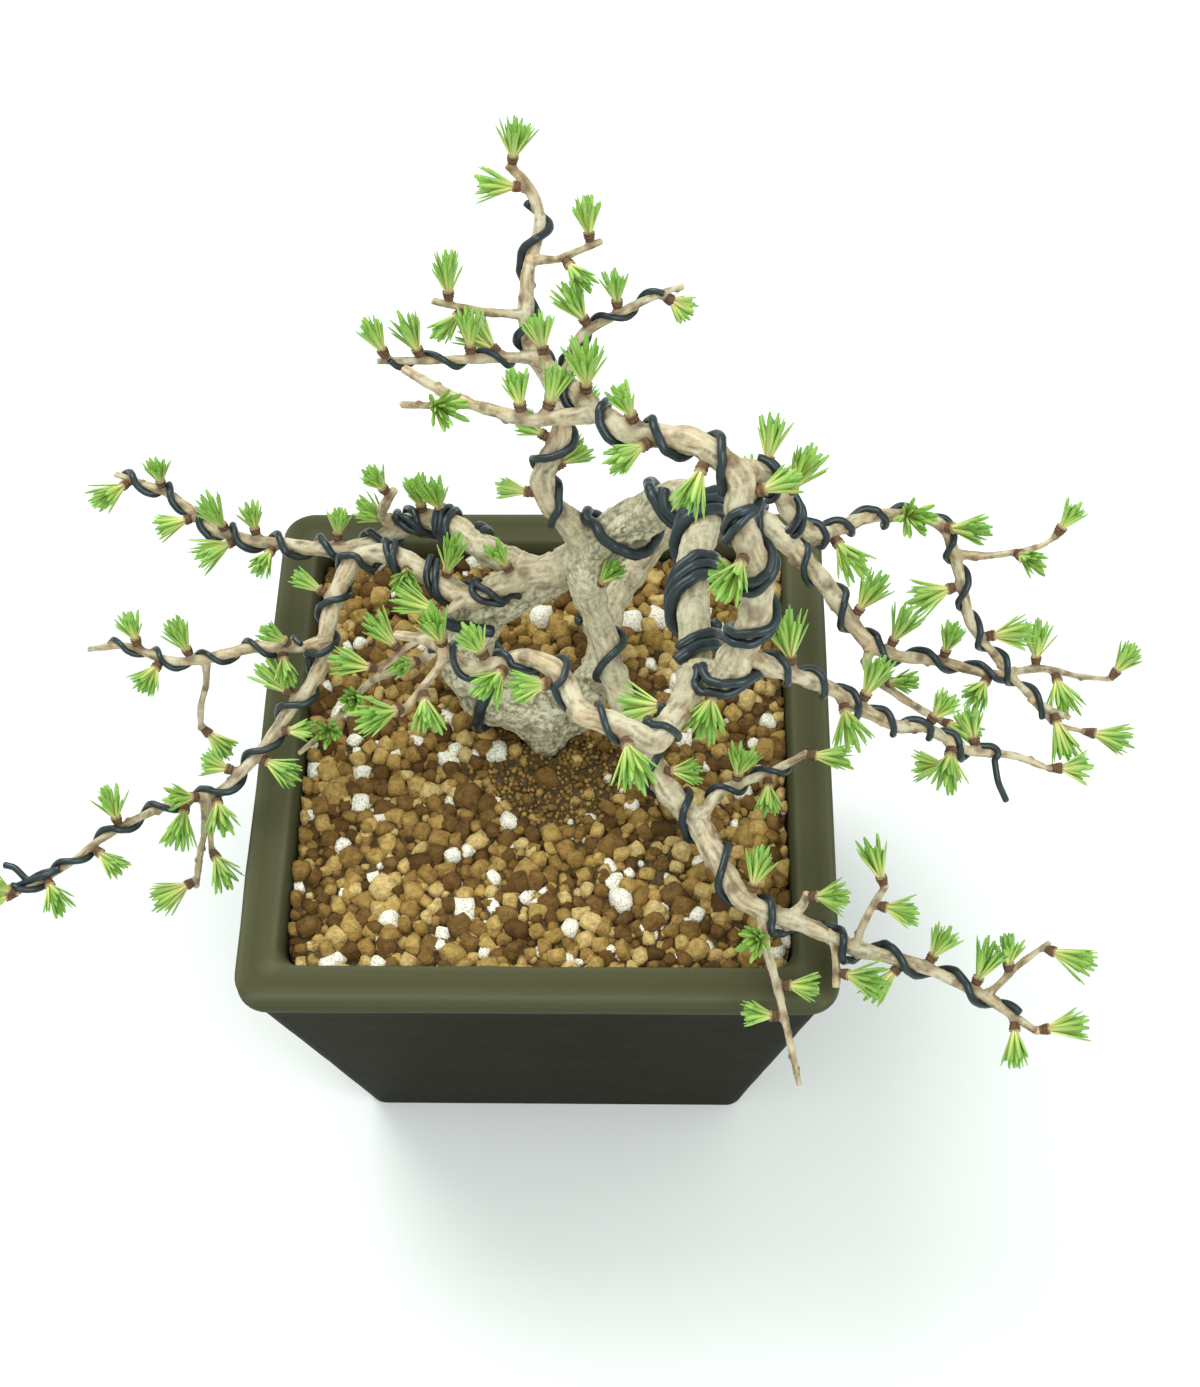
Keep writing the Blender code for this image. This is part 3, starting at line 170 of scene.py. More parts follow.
# Each branch is its main stem and the twigs that grow from it, root first, as (x, y, z, radius) in mm
BRANCHES = {
    "leader": [
        stem([(38, -37, 202, 3.8), (44, -42, 210, 3.8), (48, -40, 218, 3.6), (51, -37, 228, 3.4),
              (51, -34, 237, 3.2), (49, -32, 244, 3.1), (47, -27, 249, 3.0), (47, -22, 254, 2.9),
              (39, -16, 257, 2.8), (32, -13, 256, 2.7), (25, -10, 254, 2.6), (17, -2, 251, 2.4),
              (11, 8, 248, 2.1), (5, 16, 246, 1.6)],
             [(6, -150, 0), (36, -150, 55), (42, -160, 10), (54, 10, 20), (71, -60, -10), (76, -95, 0),
              (84, 140, 60), (104, 90, 70), (121, 60, 70)]),
        stem([(16, -3, 251, 1.6), (9, -3, 250, 1.6), (3, -2, 248, 1.5), (-4, 2, 246, 1.4),
              (-13, 8, 243, 1.3), (-20, 15, 240, 1.2), (-26, 21, 238, 1.0)],
             [(10, 60, 50), (15, 110, 65)]),
        stem([(-12, 8, 243, 1.0), (-19, 8, 241, 0.9), (-26, 10, 239, 0.8)],
             [(7, -60, 40)]),
    ],
    "branch_back": [
        stem([(13, 22.5, 168, 4.0), (10.5, 24, 173, 3.7), (8, 25, 177, 3.4), (4, 26, 182, 3.0),
              (2, 29, 187, 2.8), (4, 32, 193, 2.6), (7, 35, 199, 2.4), (6, 40, 206, 2.2), (2, 46, 211, 2.0),
              (-1, 51, 215, 1.9), (-1, 61, 222, 1.7), (0, 67, 225, 1.6), (2, 75, 229, 1.5),
              (-1, 82, 233, 1.3), (-6, 86, 236, 1.0)],
             [(20, 175, 10), (24, 15, 35), (34, 160, 30), (39, 20, 40), (98, 180, 10), (104, 20, 60)]),
        stem([(-1, 55, 218, 1.1), (-10, 53, 221, 1.0), (-17, 53, 223, 0.9), (-23, 54, 224, 0.8)],
             [(15, -130, 0), (19, 90, 65)]),
        stem([(0, 66, 225, 1.1), (6, 65, 226, 1.0), (10, 65, 228, 0.9), (17, 67, 230, 0.8)],
             [(8, -60, 0), (15, 100, 60)]),
        stem([(6, 40, 206, 1.6), (8, 46, 208, 1.4), (12, 52, 214, 1.3), (22, 55, 219, 1.1),
              (31, 58, 222, 0.9), (36, 59, 223, 0.8)],
             [(20, 120, 50), (26, 100, 65), (37, -40, 0)]),
        stem([(1, 47, 212, 1.5), (-5, 45, 214, 1.3), (-16, 41, 218, 1.1), (-27, 39, 220, 1.0),
              (-35, 37, 222, 0.8)],
             [(8, -160, 20), (15, 90, 65), (25, 90, 65), (36, 130, 55)]),
    ],
    "branch_far_left": [
        stem([(1, 21, 157, 4.0), (-5, 23.5, 160, 3.9), (-10, 26, 160.5, 3.7), (-15, 31, 158.5, 3.5),
              (-20, 37, 156, 3.4), (-25, 42, 153, 3.3), (-31, 45, 151, 3.0), (-37, 44, 149, 2.7),
              (-43, 41, 147, 2.4),
              (-51, 39, 146, 2.1), (-60, 40, 145, 1.9), (-69, 43, 143, 1.7), (-78, 45, 142, 1.6),
              (-88, 50, 140, 1.5), (-95, 57, 139, 1.3), (-103, 64, 138, 1.2), (-111, 68, 137, 1.1),
              (-118, 71, 137, 0.8)],
             [(34, 80, 65), (41, 100, 75), (50, 170, 40), (69, 130, 50), (85, -60, 10), (90, 110, 60),
              (95, -150, 0), (99, 100, 65), (111, -160, 0), (124, 60, 70), (136, -130, 10)]),
        stem([(-38, 44, 149, 1.7), (-41, 43, 155, 1.5), (-40, 43, 160, 1.3), (-37, 44, 165, 1.0)],
             [(15, 180, 10)]),
    ],
    "branch_left": [
        stem([(7, 21, 162, 3.2), (3.5, 17, 166.3, 3.2), (0, 16, 167, 3.1), (-5, 16, 165, 3.0),
              (-10, 16, 162, 3.0), (-15, 14, 160, 2.9), (-19, 15, 160, 2.8), (-24, 18, 160.5, 2.8),
              (-32, 24, 160, 2.8), (-38, 28, 159, 2.7), (-45, 29, 157, 2.6), (-49, 25, 155, 2.5),
              (-52, 19, 152, 2.4), (-54, 11, 148, 2.2), (-55, 5, 144, 2.0), (-59, -1, 140, 1.8),
              (-64, -5, 136, 1.6), (-70, -12, 131, 1.5), (-76, -17, 127, 1.4), (-82, -21, 123, 1.3),
              (-90, -21, 120, 1.2), (-100, -23, 117, 1.1), (-112, -28, 113, 1.0), (-123, -36, 110, 0.9),
              (-134, -42, 108, 0.7)],
             [(16, 150, 60), (38, 90, 70), (50, -120, 20), (75, 180, 20), (103, -170, 10),
              (113, 0, 10), (121, -30, 0), (127, 170, 20), (134, -50, 0), (139, 170, 15),
              (147, -120, 0), (165, 110, 60), (172, -90, 0), (186, -60, 10), (193, 100, 60),
              (207, -150, 10)]),
        stem([(-17, 14.5, 160, 1.3), (-21, 10, 161, 1.1), (-27, 6, 157, 1.0), (-34, 2, 153, 0.9),
              (-40, -1, 149, 0.8)],
             [(8, 170, 20), (23, 150, 50), (30, 180, 30)]),
        stem([(-54, 9, 147, 1.7), (-61, 9, 145, 1.6), (-73, 11, 142, 1.5), (-84, 10, 139, 1.4),
              (-95, 10, 137, 1.2), (-108, 16, 135, 1.0), (-119, 17, 132, 0.8)],
             [(7, 130, 50), (14, -100, 0), (37, 80, 60), (41, -90, 0), (53, 110, 60)]),
        stem([(-86, 10, 139, 1.0), (-87, 7, 131, 0.9), (-89, 4, 125, 0.9), (-90, 1, 118, 0.8)],
             [(22, -20, 10)]),
        stem([(-86, -21, 121, 1.0), (-87, -26, 112, 0.9), (-89, -29, 105, 0.9), (-91, -34, 96, 0.8)],
             [(26, -150, 0)]),
        stem([(-84, -21, 122, 0.9), (-85, -27, 114, 0.8), (-85, -32, 108, 0.7)],
             [(15, -60, 0)]),
    ],
    "branch_low_left": [
        stem([(-19, 17, 141, 1.6), (-24, 15, 140.5, 1.5), (-30, 11, 137, 1.3), (-36, 9, 135, 1.1),
              (-44, 7, 132, 1.0),
              (-52, 0, 127, 0.9), (-57, -4, 124, 0.8), (-63, -8, 121, 0.7)],
             [(14, -150, 10), (34, -90, 50), (45, -80, 50)]),
    ],
    "branch_front_left": [
        stem([(38, -38, 203, 3.0), (36, -47, 208, 2.9), (32, -56, 212, 2.8), (29, -61, 214, 2.7),
              (24, -59, 216, 2.6), (19, -57, 216, 2.5), (14, -54, 215, 2.4), (10, -46, 216, 2.2),
              (6, -43, 217, 2.1), (1, -41, 216, 2.0), (-5, -42, 214, 1.9), (-10, -41, 212, 1.8),
              (-15, -36, 210, 1.6), (-20, -32, 209, 1.4), (-28, -29, 207, 0.9)],
             [(12, -165, -20), (34, -70, 0), (50, -170, 10), (63, -120, 10), (69, 90, 50), (84, 150, 75)]),
        stem([(-16, -36, 210, 1.2), (-18, -39, 208, 1.0), (-22, -43, 205, 0.9), (-26, -47, 202, 0.8)],
             [(9, -80, 0), (15, -150, 50)]),
    ],
    "branch_front_right": [
        stem([(12, 20, 166, 4.4), (12.5, 15, 166, 4.5), (13.5, 12, 161.5, 4.2), (15, 9, 157, 3.8),
              (17, 5, 153.5, 3.6), (18, 1, 150, 3.5), (20, -3, 146, 3.3), (22, -8, 142, 3.2),
              (26, -16, 137, 3.1), (30, -22, 134, 3.1),
              (34, -28, 133, 3.0), (40, -35, 132, 3.0), (43, -41, 131, 2.9), (47, -48, 130, 2.8),
              (51, -54, 129, 2.6), (57, -57, 128, 2.4), (64, -59, 127, 2.2), (71, -62, 126, 2.0),
              (78, -65, 125, 1.9), (92, -68, 123, 1.6), (106, -74, 121, 1.4), (113, -78, 119, 1.2),
              (121, -83, 117, 0.9)],
             [(8, 110, 60), (56, -20, 20), (99, 20, 40), (138, -90, -20), (143, 50, 40), (154, 60, 50),
              (167, -90, -10), (173, 0, 20)]),
        stem([(40, -34, 132, 1.8), (45, -27, 134, 1.5), (50, -25, 135, 1.3), (60, -21, 136, 1.1),
              (67, -17, 137, 0.8)],
             [(13, 50, 50), (22, -90, -10), (32, -10, 10)]),
        stem([(55, -56, 128, 1.3), (56, -65, 127, 1.2), (58, -72, 125, 1.1), (60, -79, 121, 1.0),
              (62, -87, 117, 0.9), (64, -95, 112, 0.8)],
             [(7, -120, 50), (19, -10, 10), (27, 180, 10)]),
        stem([(61, -58, 127, 1.2), (65, -56, 130, 1.1), (66, -54, 133, 0.9)],
             [(8, -20, 20)]),
        stem([(78, -65, 125, 1.1), (79, -62, 129, 1.0), (82, -57, 133, 0.9), (85, -54, 137, 0.8)],
             [(12, -20, 10), (17, 120, 50)]),
        stem([(72, -62, 126, 1.2), (73, -67, 125, 1.0), (73, -74, 122, 0.9)],
             [(6, 0, 20)]),
        stem([(109, -75, 120, 1.0), (112, -73, 122, 0.9), (117, -69, 125, 0.8), (124, -65, 129, 0.7)],
             [(6, 130, 50), (18, -30, 10)]),
    ],
    "branch_right_middle": [
        stem([(48, -40, 217, 1.9), (54, -41, 213, 1.9), (59, -40, 208, 1.8), (68, -37, 198, 1.7),
              (73, -37, 192, 1.6), (80, -36, 184, 1.5), (86, -35, 178, 1.4), (92, -32, 173, 1.3),
              (98, -31, 166, 1.2), (104, -31, 161, 1.1), (115, -28, 154, 1.0), (125, -29, 149, 0.7)],
             [(15, 100, 50), (33, -80, 0), (38, 50, 50), (62, 40, 40), (74, -100, 0), (84, 60, 40),
              (104, 0, 0)]),
        stem([(98, -31, 166, 1.0), (100, -33, 160, 0.9), (101, -35, 154, 0.8)],
             [(8, 180, 0)]),
    ],
    "branch_right_top": [
        stem([(46, -21, 255, 2.2), (52, -18, 250, 2.1), (56, -17, 241, 2.0), (60, -17, 232, 1.9),
              (64, -15, 225, 1.8), (67, -11, 220, 1.7), (72, -5, 215, 1.6), (78, 1, 210, 1.5),
              (85, 6, 204, 1.5), (92, 10, 198, 1.4), (98, 10, 191, 1.4), (103, 2, 177, 1.3),
              (105, -2, 171, 1.2), (110, -5, 165, 1.1), (117, -9, 157, 1.0), (124, -12, 151, 0.9),
              (131, -13, 147, 0.7)],
             [(7, 30, 40), (20, 60, 60), (45, -60, 0), (75, -90, 50), (89, 20, 30), (106, -160, 0),
              (119, 0, 10), (149, -100, -10)]),
        stem([(101, 8, 186, 1.0), (107, 7, 187, 0.9), (112, 7, 188, 0.8), (119, 8, 189, 0.7),
              (124, 10, 191, 0.6)],
             [(13, -60, 30), (23, 40, 50)]),
        stem([(121, -11, 153, 0.9), (125, -13, 148, 0.8), (129, -14, 145, 0.7), (136, -14, 142, 0.6)],
             [(18, -20, 10)]),
    ],
    "branch_right": [
        stem([(12, 14, 118, 4.3), (14, 21, 118, 4.2), (15, 30, 119, 4.0), (18, 39, 122, 3.8),
              (24, 46, 128, 3.7), (31, 51, 136, 3.6), (40, 52, 145, 3.5), (49, 48, 152, 3.3),
              (56, 41, 156, 3.1), (62, 34, 157, 2.9), (67, 29, 155, 2.6), (72, 24, 152, 2.4),
              (76, 19, 149, 2.3), (80, 15, 145, 2.1), (84, 12, 142, 1.8), (90, 10, 140, 1.6),
              (102, 11, 136, 1.4), (115, 9, 133, 1.2), (128, 12, 131, 1.0), (138, 11, 129, 0.8),
              (146, 10, 129, 0.6)],
             [(83, 40, 45), (121, 40, 50), (129, 50, 50), (147, 60, 60), (162, -90, 0), (174, 90, 50),
              (179, -80, 0), (194, 70, 50)]),
        stem([(84, 12, 142, 1.4), (83, 9, 138, 1.3), (85, 7, 135, 1.2), (93, 3, 130, 1.1),
              (104, -2, 126, 0.8)],
             [(9, 20, 40), (30, -40, 20)]),
    ],
}

# Wire, as (what it is wound on, stem number, wire radius, pitch, first mm, last mm, first angle, loose end)
WIRES = {
    "wire_foot": ("trunk", 0, 1.6, 24, 36, 76, 245, []),
    "wire_arc": ("trunk", 0, 1.4, 20.5, 112, 200, 285, []),
    "wire_leader": ("leader", 0, 1.0, 14, 8, 112, 0, []),
    "wire_back": ("branch_back", 0, 1.0, 16, 14, 96, 60, []),
    "wire_back_right": ("branch_back", 3, 0.75, 13, 5, 38, 0, []),
    "wire_back_left": ("branch_back", 4, 0.75, 13, 5, 36, 0, []),
    "wire_far_left": ("branch_far_left", 0, 1.0, 13, 20, 140, 0, []),
    "wire_left": ("branch_left", 0, 0.9, 14, 20, 199, 40,
                  [(-122, -38, 113), (-130, -37, 111), (-138, -35, 110)]),
    "wire_left_twig": ("branch_left", 2, 0.75, 13, 6, 64, 0, []),
    "wire_front_left": ("branch_front_left", 0, 0.8, 14, 15, 90, 0, []),
    "wire_front_right": ("branch_front_right", 0, 1.0, 15, 14, 168, 0, []),
    "wire_front_twig": ("branch_front_right", 1, 0.75, 12, 5, 28, 0, []),
    "wire_right_middle": ("branch_right_middle", 0, 0.8, 13, 6, 88, 0,
                          [(110, -35, 157), (113, -38, 150)]),
    "wire_right_top": ("branch_right_top", 0, 0.8, 14, 6, 148, 0, []),
    "wire_right": ("branch_right", 0, 0.9, 15, 66, 168, 0, []),
}

# Knots and holes in the old bark, as (x, y, z, radius) in mm
KNOTS = [
    (25.5, 17.5, 178, 2.3), (-4, 1.5, 119, 2.6), (12, 8, 117, 2.2), (-20, 6, 131, 2.0), (38, -4, 203, 1.4),
    (-12, 14, 150, 1.7), (10, 17.5, 165, 1.9),
]

# Further strands beside a wire, as (wire, mm along its stem, first and last share of its length)
STRANDS = [
    ("wire_arc", 2.9, 0.35, 1.0), ("wire_arc", -2.9, 0.5, 0.92), ("wire_leader", 2.2, 0.0, 0.5),
    ("wire_far_left", 2.2, 0.0, 0.36), ("wire_far_left", 4.4, 0.04, 0.26), ("wire_left", 2.0, 0.0, 0.26),
    ("wire_right_top", 1.8, 0.0, 0.2),
]

# Tufts and grains
GOLDEN_TURN = 2.39996  # from one needle to the next round its tuft, in radians
SPUR_MOUTH = 0.85  # mm from a tuft's middle to its outer needles' feet
SPUR_PROUD = 0.5  # mm that a spur is longer than the model's
NEEDLE_SINK = 0.25  # mm that the needles start inside their spur
MOST_GRAINS = 9e5  # in a square metre, before the spacing thins them

# The crumb round the trunk's foot, in mm
CRUMB_CENTRE = (3, -8)
CRUMB_REACH = (19, 14)

# The stage, in metres: the floor's steps as (depth, height), each lamp as (name, place, size, share of power)
FLOOR_HALF = 4
FLOOR_STEPS = [(-3, 0), (0, 0), (1.6, 0), (2.1, 0.06), (2.5, 0.3), (2.7, 0.8), (2.75, 2.4)]
LAMPS = [("key", (-0.5, 0.55, 1.15), 0.9, 1), ("fill", (0.45, -0.55, 1.1), 0.8, 0.6)]
LAMP_AIM = (0, 0, 0.12)
ROOM_COLOUR = (0.95, 1.0, 0.98, 1)
ROOM_STRENGTH = 0.85

# The camera, fitted to the pot's rim and foot: place in mm, then pitch, yaw and roll in degrees
CAMERA_PLACE = (32.4, -307.6, 618.7)
CAMERA_TURN = (57.37, 3.19, 2.61)
CAMERA_LENS = 58.56


def arc_lengths(points):
    return np.concatenate([[0], np.cumsum(np.linalg.norm(np.diff(points[:, :3], axis=0), axis=1))])


def at(place, along, columns):
    """The columns' values at one distance along a path, or at several."""
    return np.array([np.interp(place, along, column) for column in columns.T]).T


def smooth_route(route, step):
    """Points about a step apart on a smooth curve through the route, all of its columns blended alike."""
    knots = np.array(route, float)
    ends = [2 * knots[0] - knots[1], *knots, 2 * knots[-1] - knots[-2]]
    fine = []
    for a, b, c, d in zip(ends, ends[1:], ends[2:], ends[3:]):
        for t in np.linspace(0, 1, 12, endpoint=False):
            square = 2 * a - 5 * b + 4 * c - d
            cube = 3 * b - a - 3 * c + d
            fine.append(0.5 * (2 * b + (c - a) * t + square * t**2 + cube * t**3))
    fine = np.array(fine + [knots[-1]])
    along = arc_lengths(fine)
    count = max(2, round(along[-1] / step)) + 1
    return at(np.linspace(0, along[-1], count), along, fine)


def frames(points):
    """The direction of a path and two directions across it at each point, carried along without twist."""
    tangents = np.gradient(points[:, :3], axis=0)
    tangents /= np.linalg.norm(tangents, axis=1)[:, None]
    level = (0.0, 1.0, 0.0) if abs(tangents[0][1]) < 0.8 else (1.0, 0.0, 0.0)
    side = np.cross(tangents[0], level)
    across = []
    for tangent in tangents:
        side = side - tangent * side.dot(tangent)
        side = side / np.linalg.norm(side)
        across.append(side)
    across = np.array(across)
    return tangents, across, np.cross(tangents, across)


def segments(samples, swell=0.0):
    """The path's straight pieces as rows of start, end, start radius and end radius."""
    return np.hstack([samples[:-1, :3], samples[1:, :3], samples[:-1, 3:] + swell, samples[1:, 3:] + swell])


def room(points, rows):
    """For each point, the distance to the nearest row's surface, and the way out from that row's middle."""
    start, run = rows[:, :3], rows[:, 3:6] - rows[:, :3]
    offset = points[:, None, :] - start[None]
    share = np.clip((offset * run).sum(2) / np.maximum((run * run).sum(1), 1e-9), 0, 1)
    away = offset - share[..., None] * run[None]
    distance = np.linalg.norm(away, axis=2)
    clear = distance - (rows[:, 6] + share * (rows[:, 7] - rows[:, 6]))
    nearest = clear.argmin(1)
    pick = np.arange(len(points))
    return clear[pick, nearest], away[pick, nearest] / np.maximum(distance[pick, nearest], 1e-9)[:, None]


def wound(stems, number, radius, pitch, first, last, angle, tail, blocked):
    """A wire's corners: a helix on the stem that passes each twig on its far side, then the loose end."""
    path = smooth_route(stems[number]["route"], 1.0)
    _, side, up = frames(path)
    along = arc_lengths(path)
    marks = []
    for other in stems[number + 1:]:
        start, after = np.array(other["route"][:2], float)[:, :3]
        way = after - start
        gap = np.linalg.norm(path[:, :3] - start, axis=1)
        i = int(gap.argmin())
        if gap[i] < 4 and first < along[i] < last:
            marks.append((along[i], math.atan2(way.dot(up[i]), way.dot(side[i])) + math.pi))
    marks.sort()
    knots = [(first, math.radians(angle))]
    if marks:
        knots = [(first, marks[0][1] - 2 * math.pi * (marks[0][0] - first) / pitch)]
    for place, turn in marks:
        wanted = knots[-1][1] + 2 * math.pi * (place - knots[-1][0]) / pitch
        turn += 2 * math.pi * round((wanted - turn) / (2 * math.pi))
        if place - knots[-1][0] > 1:
            knots.append((place, turn))
    knots.append((last, knots[-1][1] + 2 * math.pi * (last - knots[-1][0]) / pitch))
    places, turns = np.array(knots).T
    count = max(4, round(abs(turns[-1] - turns[0]) / (2 * math.pi) * CHORDS_PER_TURN)) + 1
    even = np.linspace(0, 1, count)
    measure = (turns - turns[0]) / (turns[-1] - turns[0])
    s = np.interp(even, measure, places)
    theta = np.interp(even, measure, turns)
    centre, sides, ups = (at(s, along, columns) for columns in (path, side, up))
    reach = (centre[:, 3] * 1.1 + WIRE_CLEARANCE + radius) / math.cos(math.pi / CHORDS_PER_TURN)
    ways = np.cos(theta)[:, None] * sides + np.sin(theta)[:, None] * ups
    points = centre[:, :3] + reach[:, None] * ways
    if tail:
        points = np.vstack([points, np.array(tail, float)])
    for _ in range(WIRE_PUSHES):
        middles = (points[:-1] + points[1:]) / 2
        clear, out = room(points, blocked)
        points = points + np.maximum(0, radius + WIRE_CLEARANCE - clear)[:, None] * out
        clear, out = room(middles, blocked)
        push = np.maximum(0, radius + WIRE_CLEARANCE - clear)[:, None] * out
        points[:-1] += push * 0.6
        points[1:] += push * 0.6
        over = np.abs(points[:, :2]).max(1) < RIM_HALF - LIP_WIDTH
        points[over, 2] = np.maximum(points[over, 2], WIRE_FLOOR + radius)
    return np.hstack([points, np.full((len(points), 1), radius)])


def needle_ways(way, seed):
    """The needles of a tuft in the model, as vectors, which set how much room the tuft needs."""
    draw = np.random.default_rng(seed)
    axis = Vector(way).normalized()
    side = axis.orthogonal().normalized()
    up = axis.cross(side)
    ways = []
    for ring, spread in enumerate((OUTER_SPREAD, INNER_SPREAD)):
        for k in range(NEEDLES_ROUND):
            turn = 2 * math.pi * (k + 0.5 * ring) / NEEDLES_ROUND + draw.uniform(-0.12, 0.12)
            tilt = math.radians(spread + draw.uniform(-4, 4))
            out = side * math.cos(turn) + up * math.sin(turn)
            ways.append(axis * math.cos(tilt) + out * math.sin(tilt))
    length = NEEDLE_LENGTH * (1 + draw.uniform(-NEEDLE_VARIETY, NEEDLE_VARIETY))
    return axis, [way * length for way in ways]


def tuft_rows(root, way, seed):
    """The tuft's spur and needles as rows to test for room."""
    axis, needles = needle_ways(way, seed)
    middle = Vector(root[:3])
    crown = middle + axis * (root[3] + SPUR_LENGTH + 0.4)
    rows = [(*middle, *crown, root[3] * SPUR_FOOT, SPUR_RADIUS + 0.1)]
    rows += [(*crown, *(crown + needle), 0.8, 0.15) for needle in needles]
    return np.array(rows)


def compass(heading, lift):
    a, b = math.radians(heading), math.radians(lift)
    return np.array((math.cos(b) * math.cos(a), math.cos(b) * math.sin(a), math.sin(b)))


def placed_tuft(path, place, heading, lift, seed, blocked):
    """Where a tuft stands: as wanted, or slid and turned a little to where it has room."""
    along = arc_lengths(path)
    best = None
    for slide in (0, 1.5, -1.5, 3, -3, 4.5, -4.5, 6, -6):
        for swing in (0, 25, -25, 50, -50):
            s = min(max(place + slide, 1), along[-1])
            middle = at(s, along, path)
            i = min(int(np.searchsorted(along, s)), len(path) - 1)
            run = path[i, :3] - path[i - 1, :3]
            run /= np.linalg.norm(run)
            way = compass(heading + swing, lift)
            flat = way - run * way.dot(run)
            flat /= max(np.linalg.norm(flat), 1e-6)
            at_tip = along[-1] - s < 3
            least, most = (0.5, 0.9) if at_tip else (-STEEPEST_LEAN, STEEPEST_LEAN)
            lean = float(np.clip(way.dot(run), least, most))
            way = run * lean + flat * math.sqrt(1 - lean * lean)
            rows = tuft_rows(middle, way, seed)
            shares = np.linspace(0, 1, 12)
            spots = np.vstack([rows[:, :3] + (rows[:, 3:6] - rows[:, :3]) * t for t in shares])
            sizes = np.concatenate([rows[:, 6] + (rows[:, 7] - rows[:, 6]) * t for t in shares])
            clear = (room(spots, blocked)[0] - sizes).min()
            if best is None or clear > best[0]:
                best = (clear, middle, way)
            if clear > TUFT_ROOM:
                return middle, way
    return best[1], best[2]


@functools.cache
def tree_plan():
    """The model's layout: each wire's corners, and each tuft's root, direction and needle length."""
    paths = {"trunk": [smooth_route(TRUNK, TRUNK_STEP)]}
    paths["trunk"] += [smooth_route(lobe, LOBE_STEP) for lobe in (FOOT_LOBE, SHOULDER)]
    for name, stems in BRANCHES.items():
        paths[name] = [smooth_route(s["route"], STEM_STEP) for s in stems]
    wood = {name: [segments(p, 0.1 * p[:, 3:].max()) for p in group] for name, group in paths.items()}
    wires = {}
    for name, (host, number, radius, pitch, first, last, angle, tail) in WIRES.items():
        on_trunk = host == "trunk"
        stems = [{"route": TRUNK}] if on_trunk else BRANCHES[host]
        near = [node for node in wood if not (on_trunk and node == "trunk")]
        blocked = [rows for node in near for rows in wood[node]]
        blocked = np.vstack(blocked + [segments(p) for p in wires.values()])
        wires[name] = wound(stems, number, radius, pitch, first, last, angle, tail, blocked)
    tufts = []
    placed = {}
    for number, (name, stems) in enumerate(BRANCHES.items()):
        others = [segments(p) for p in wires.values()]
        others += [segments(p, 0.3) for node, group in paths.items() if node != name for p in group]
        others += [rows for group in placed.values() for rows in group]
        placed[name] = []
        for k, one in enumerate(stems):
            for m, (place, heading, lift) in enumerate(one["tufts"]):
                seed = number * 1000 + k * 50 + m
                root, way = placed_tuft(paths[name][k], place, heading, lift, seed, np.vstack(others))
                others.append(tuft_rows(root, way, seed))
                placed[name].append(others[-1])
                tufts.append((name, root, way, needle_ways(way, seed)[1][0].length))
    return wires, tufts


def mesh_object(name, points, faces, finish=None):
    """A mesh object at the origin from points in mm."""
    mesh = bpy.data.meshes.new(name)
    mesh.from_pydata([tuple(float(c) * MM for c in p) for p in points], [], faces)
    if finish:
        mesh.materials.append(finish)
    obj = bpy.data.objects.new(name, mesh)
    bpy.context.scene.collection.objects.link(obj)
    return obj


def settle(obj):
    """Puts what the object's modifiers make into its own mesh."""
    shape = bpy.data.meshes.new_from_object(obj.evaluated_get(bpy.context.evaluated_depsgraph_get()))
    obj.modifiers.clear()
    old = obj.data
    obj.data = shape
    bpy.data.meshes.remove(old)
    return obj


def dressed(obj, slot, *nodes):
    """Makes the object a piece that rides on the one body and stands for those nodes, hiding them. The slot
    is not used.
    """
    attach(obj, "root")
    if nodes:
        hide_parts(*nodes)
    return obj


def ring_points(sample, side, up, radius, sides):
    angles = np.arange(sides) * 2 * math.pi / sides
    radius = np.broadcast_to(radius, angles.shape)
    spokes = np.cos(angles)[:, None] * side + np.sin(angles)[:, None] * up
    return sample[:3] + spokes * radius[:, None]


def wall_faces(rings, sides, base=0):
    """The faces between closed rings of points that follow each other."""
    faces = []
    for i in range(rings - 1):
        for k in range(sides):
            a, b = base + i * sides + k, base + i * sides + (k + 1) % sides
            faces.append((a, b, b + sides, a + sides))
    return faces


def tube(samples, sides, base=0):
    """Points and faces of a closed tube through (x, y, z, radius) samples, with a fan at each end."""
    _, side, up = frames(samples)
    points = [p for i, s in enumerate(samples) for p in ring_points(s, side[i], up[i], s[3], sides)]
    faces = wall_faces(len(samples), sides, base)
    first = base + len(points)
    points += [samples[0, :3], samples[-1, :3]]
    top = base + (len(samples) - 1) * sides
    for k in range(sides):
        faces.append((first, base + (k + 1) % sides, base + k))
        faces.append((first + 1, top + k, top + (k + 1) % sides))
    return points, faces


def lump(centre, radius, base):
    """Points and faces of a rough ball."""
    ball = bmesh.new()
    bmesh.ops.create_icosphere(ball, subdivisions=2, radius=1)
    points = [np.array(centre) + np.array(v.co) * radius for v in ball.verts]
    faces = [tuple(base + v.index for v in f.verts) for f in ball.faces]
    ball.free()
    return points, faces


def flared(path, share, reach):
    """The path with its first part widened, as a stem is where it leaves its parent."""
    out = path.copy()
    out[:, 3] *= 1 + share * np.exp(-arc_lengths(path) / reach)
    return out


def stem_ripple(path, seed):
    """The path with the slight swellings and bends that a twig has between its old buds."""
    out = path.copy()
    draw = np.random.default_rng(seed)
    along = arc_lengths(path)
    phase = draw.uniform(0, 6.3, 3)
    out[:, 3] *= 1 + 0.06 * np.sin(along * 0.95 + phase[0]) + 0.05 * np.sin(along * 0.41 + phase[1])
    return out


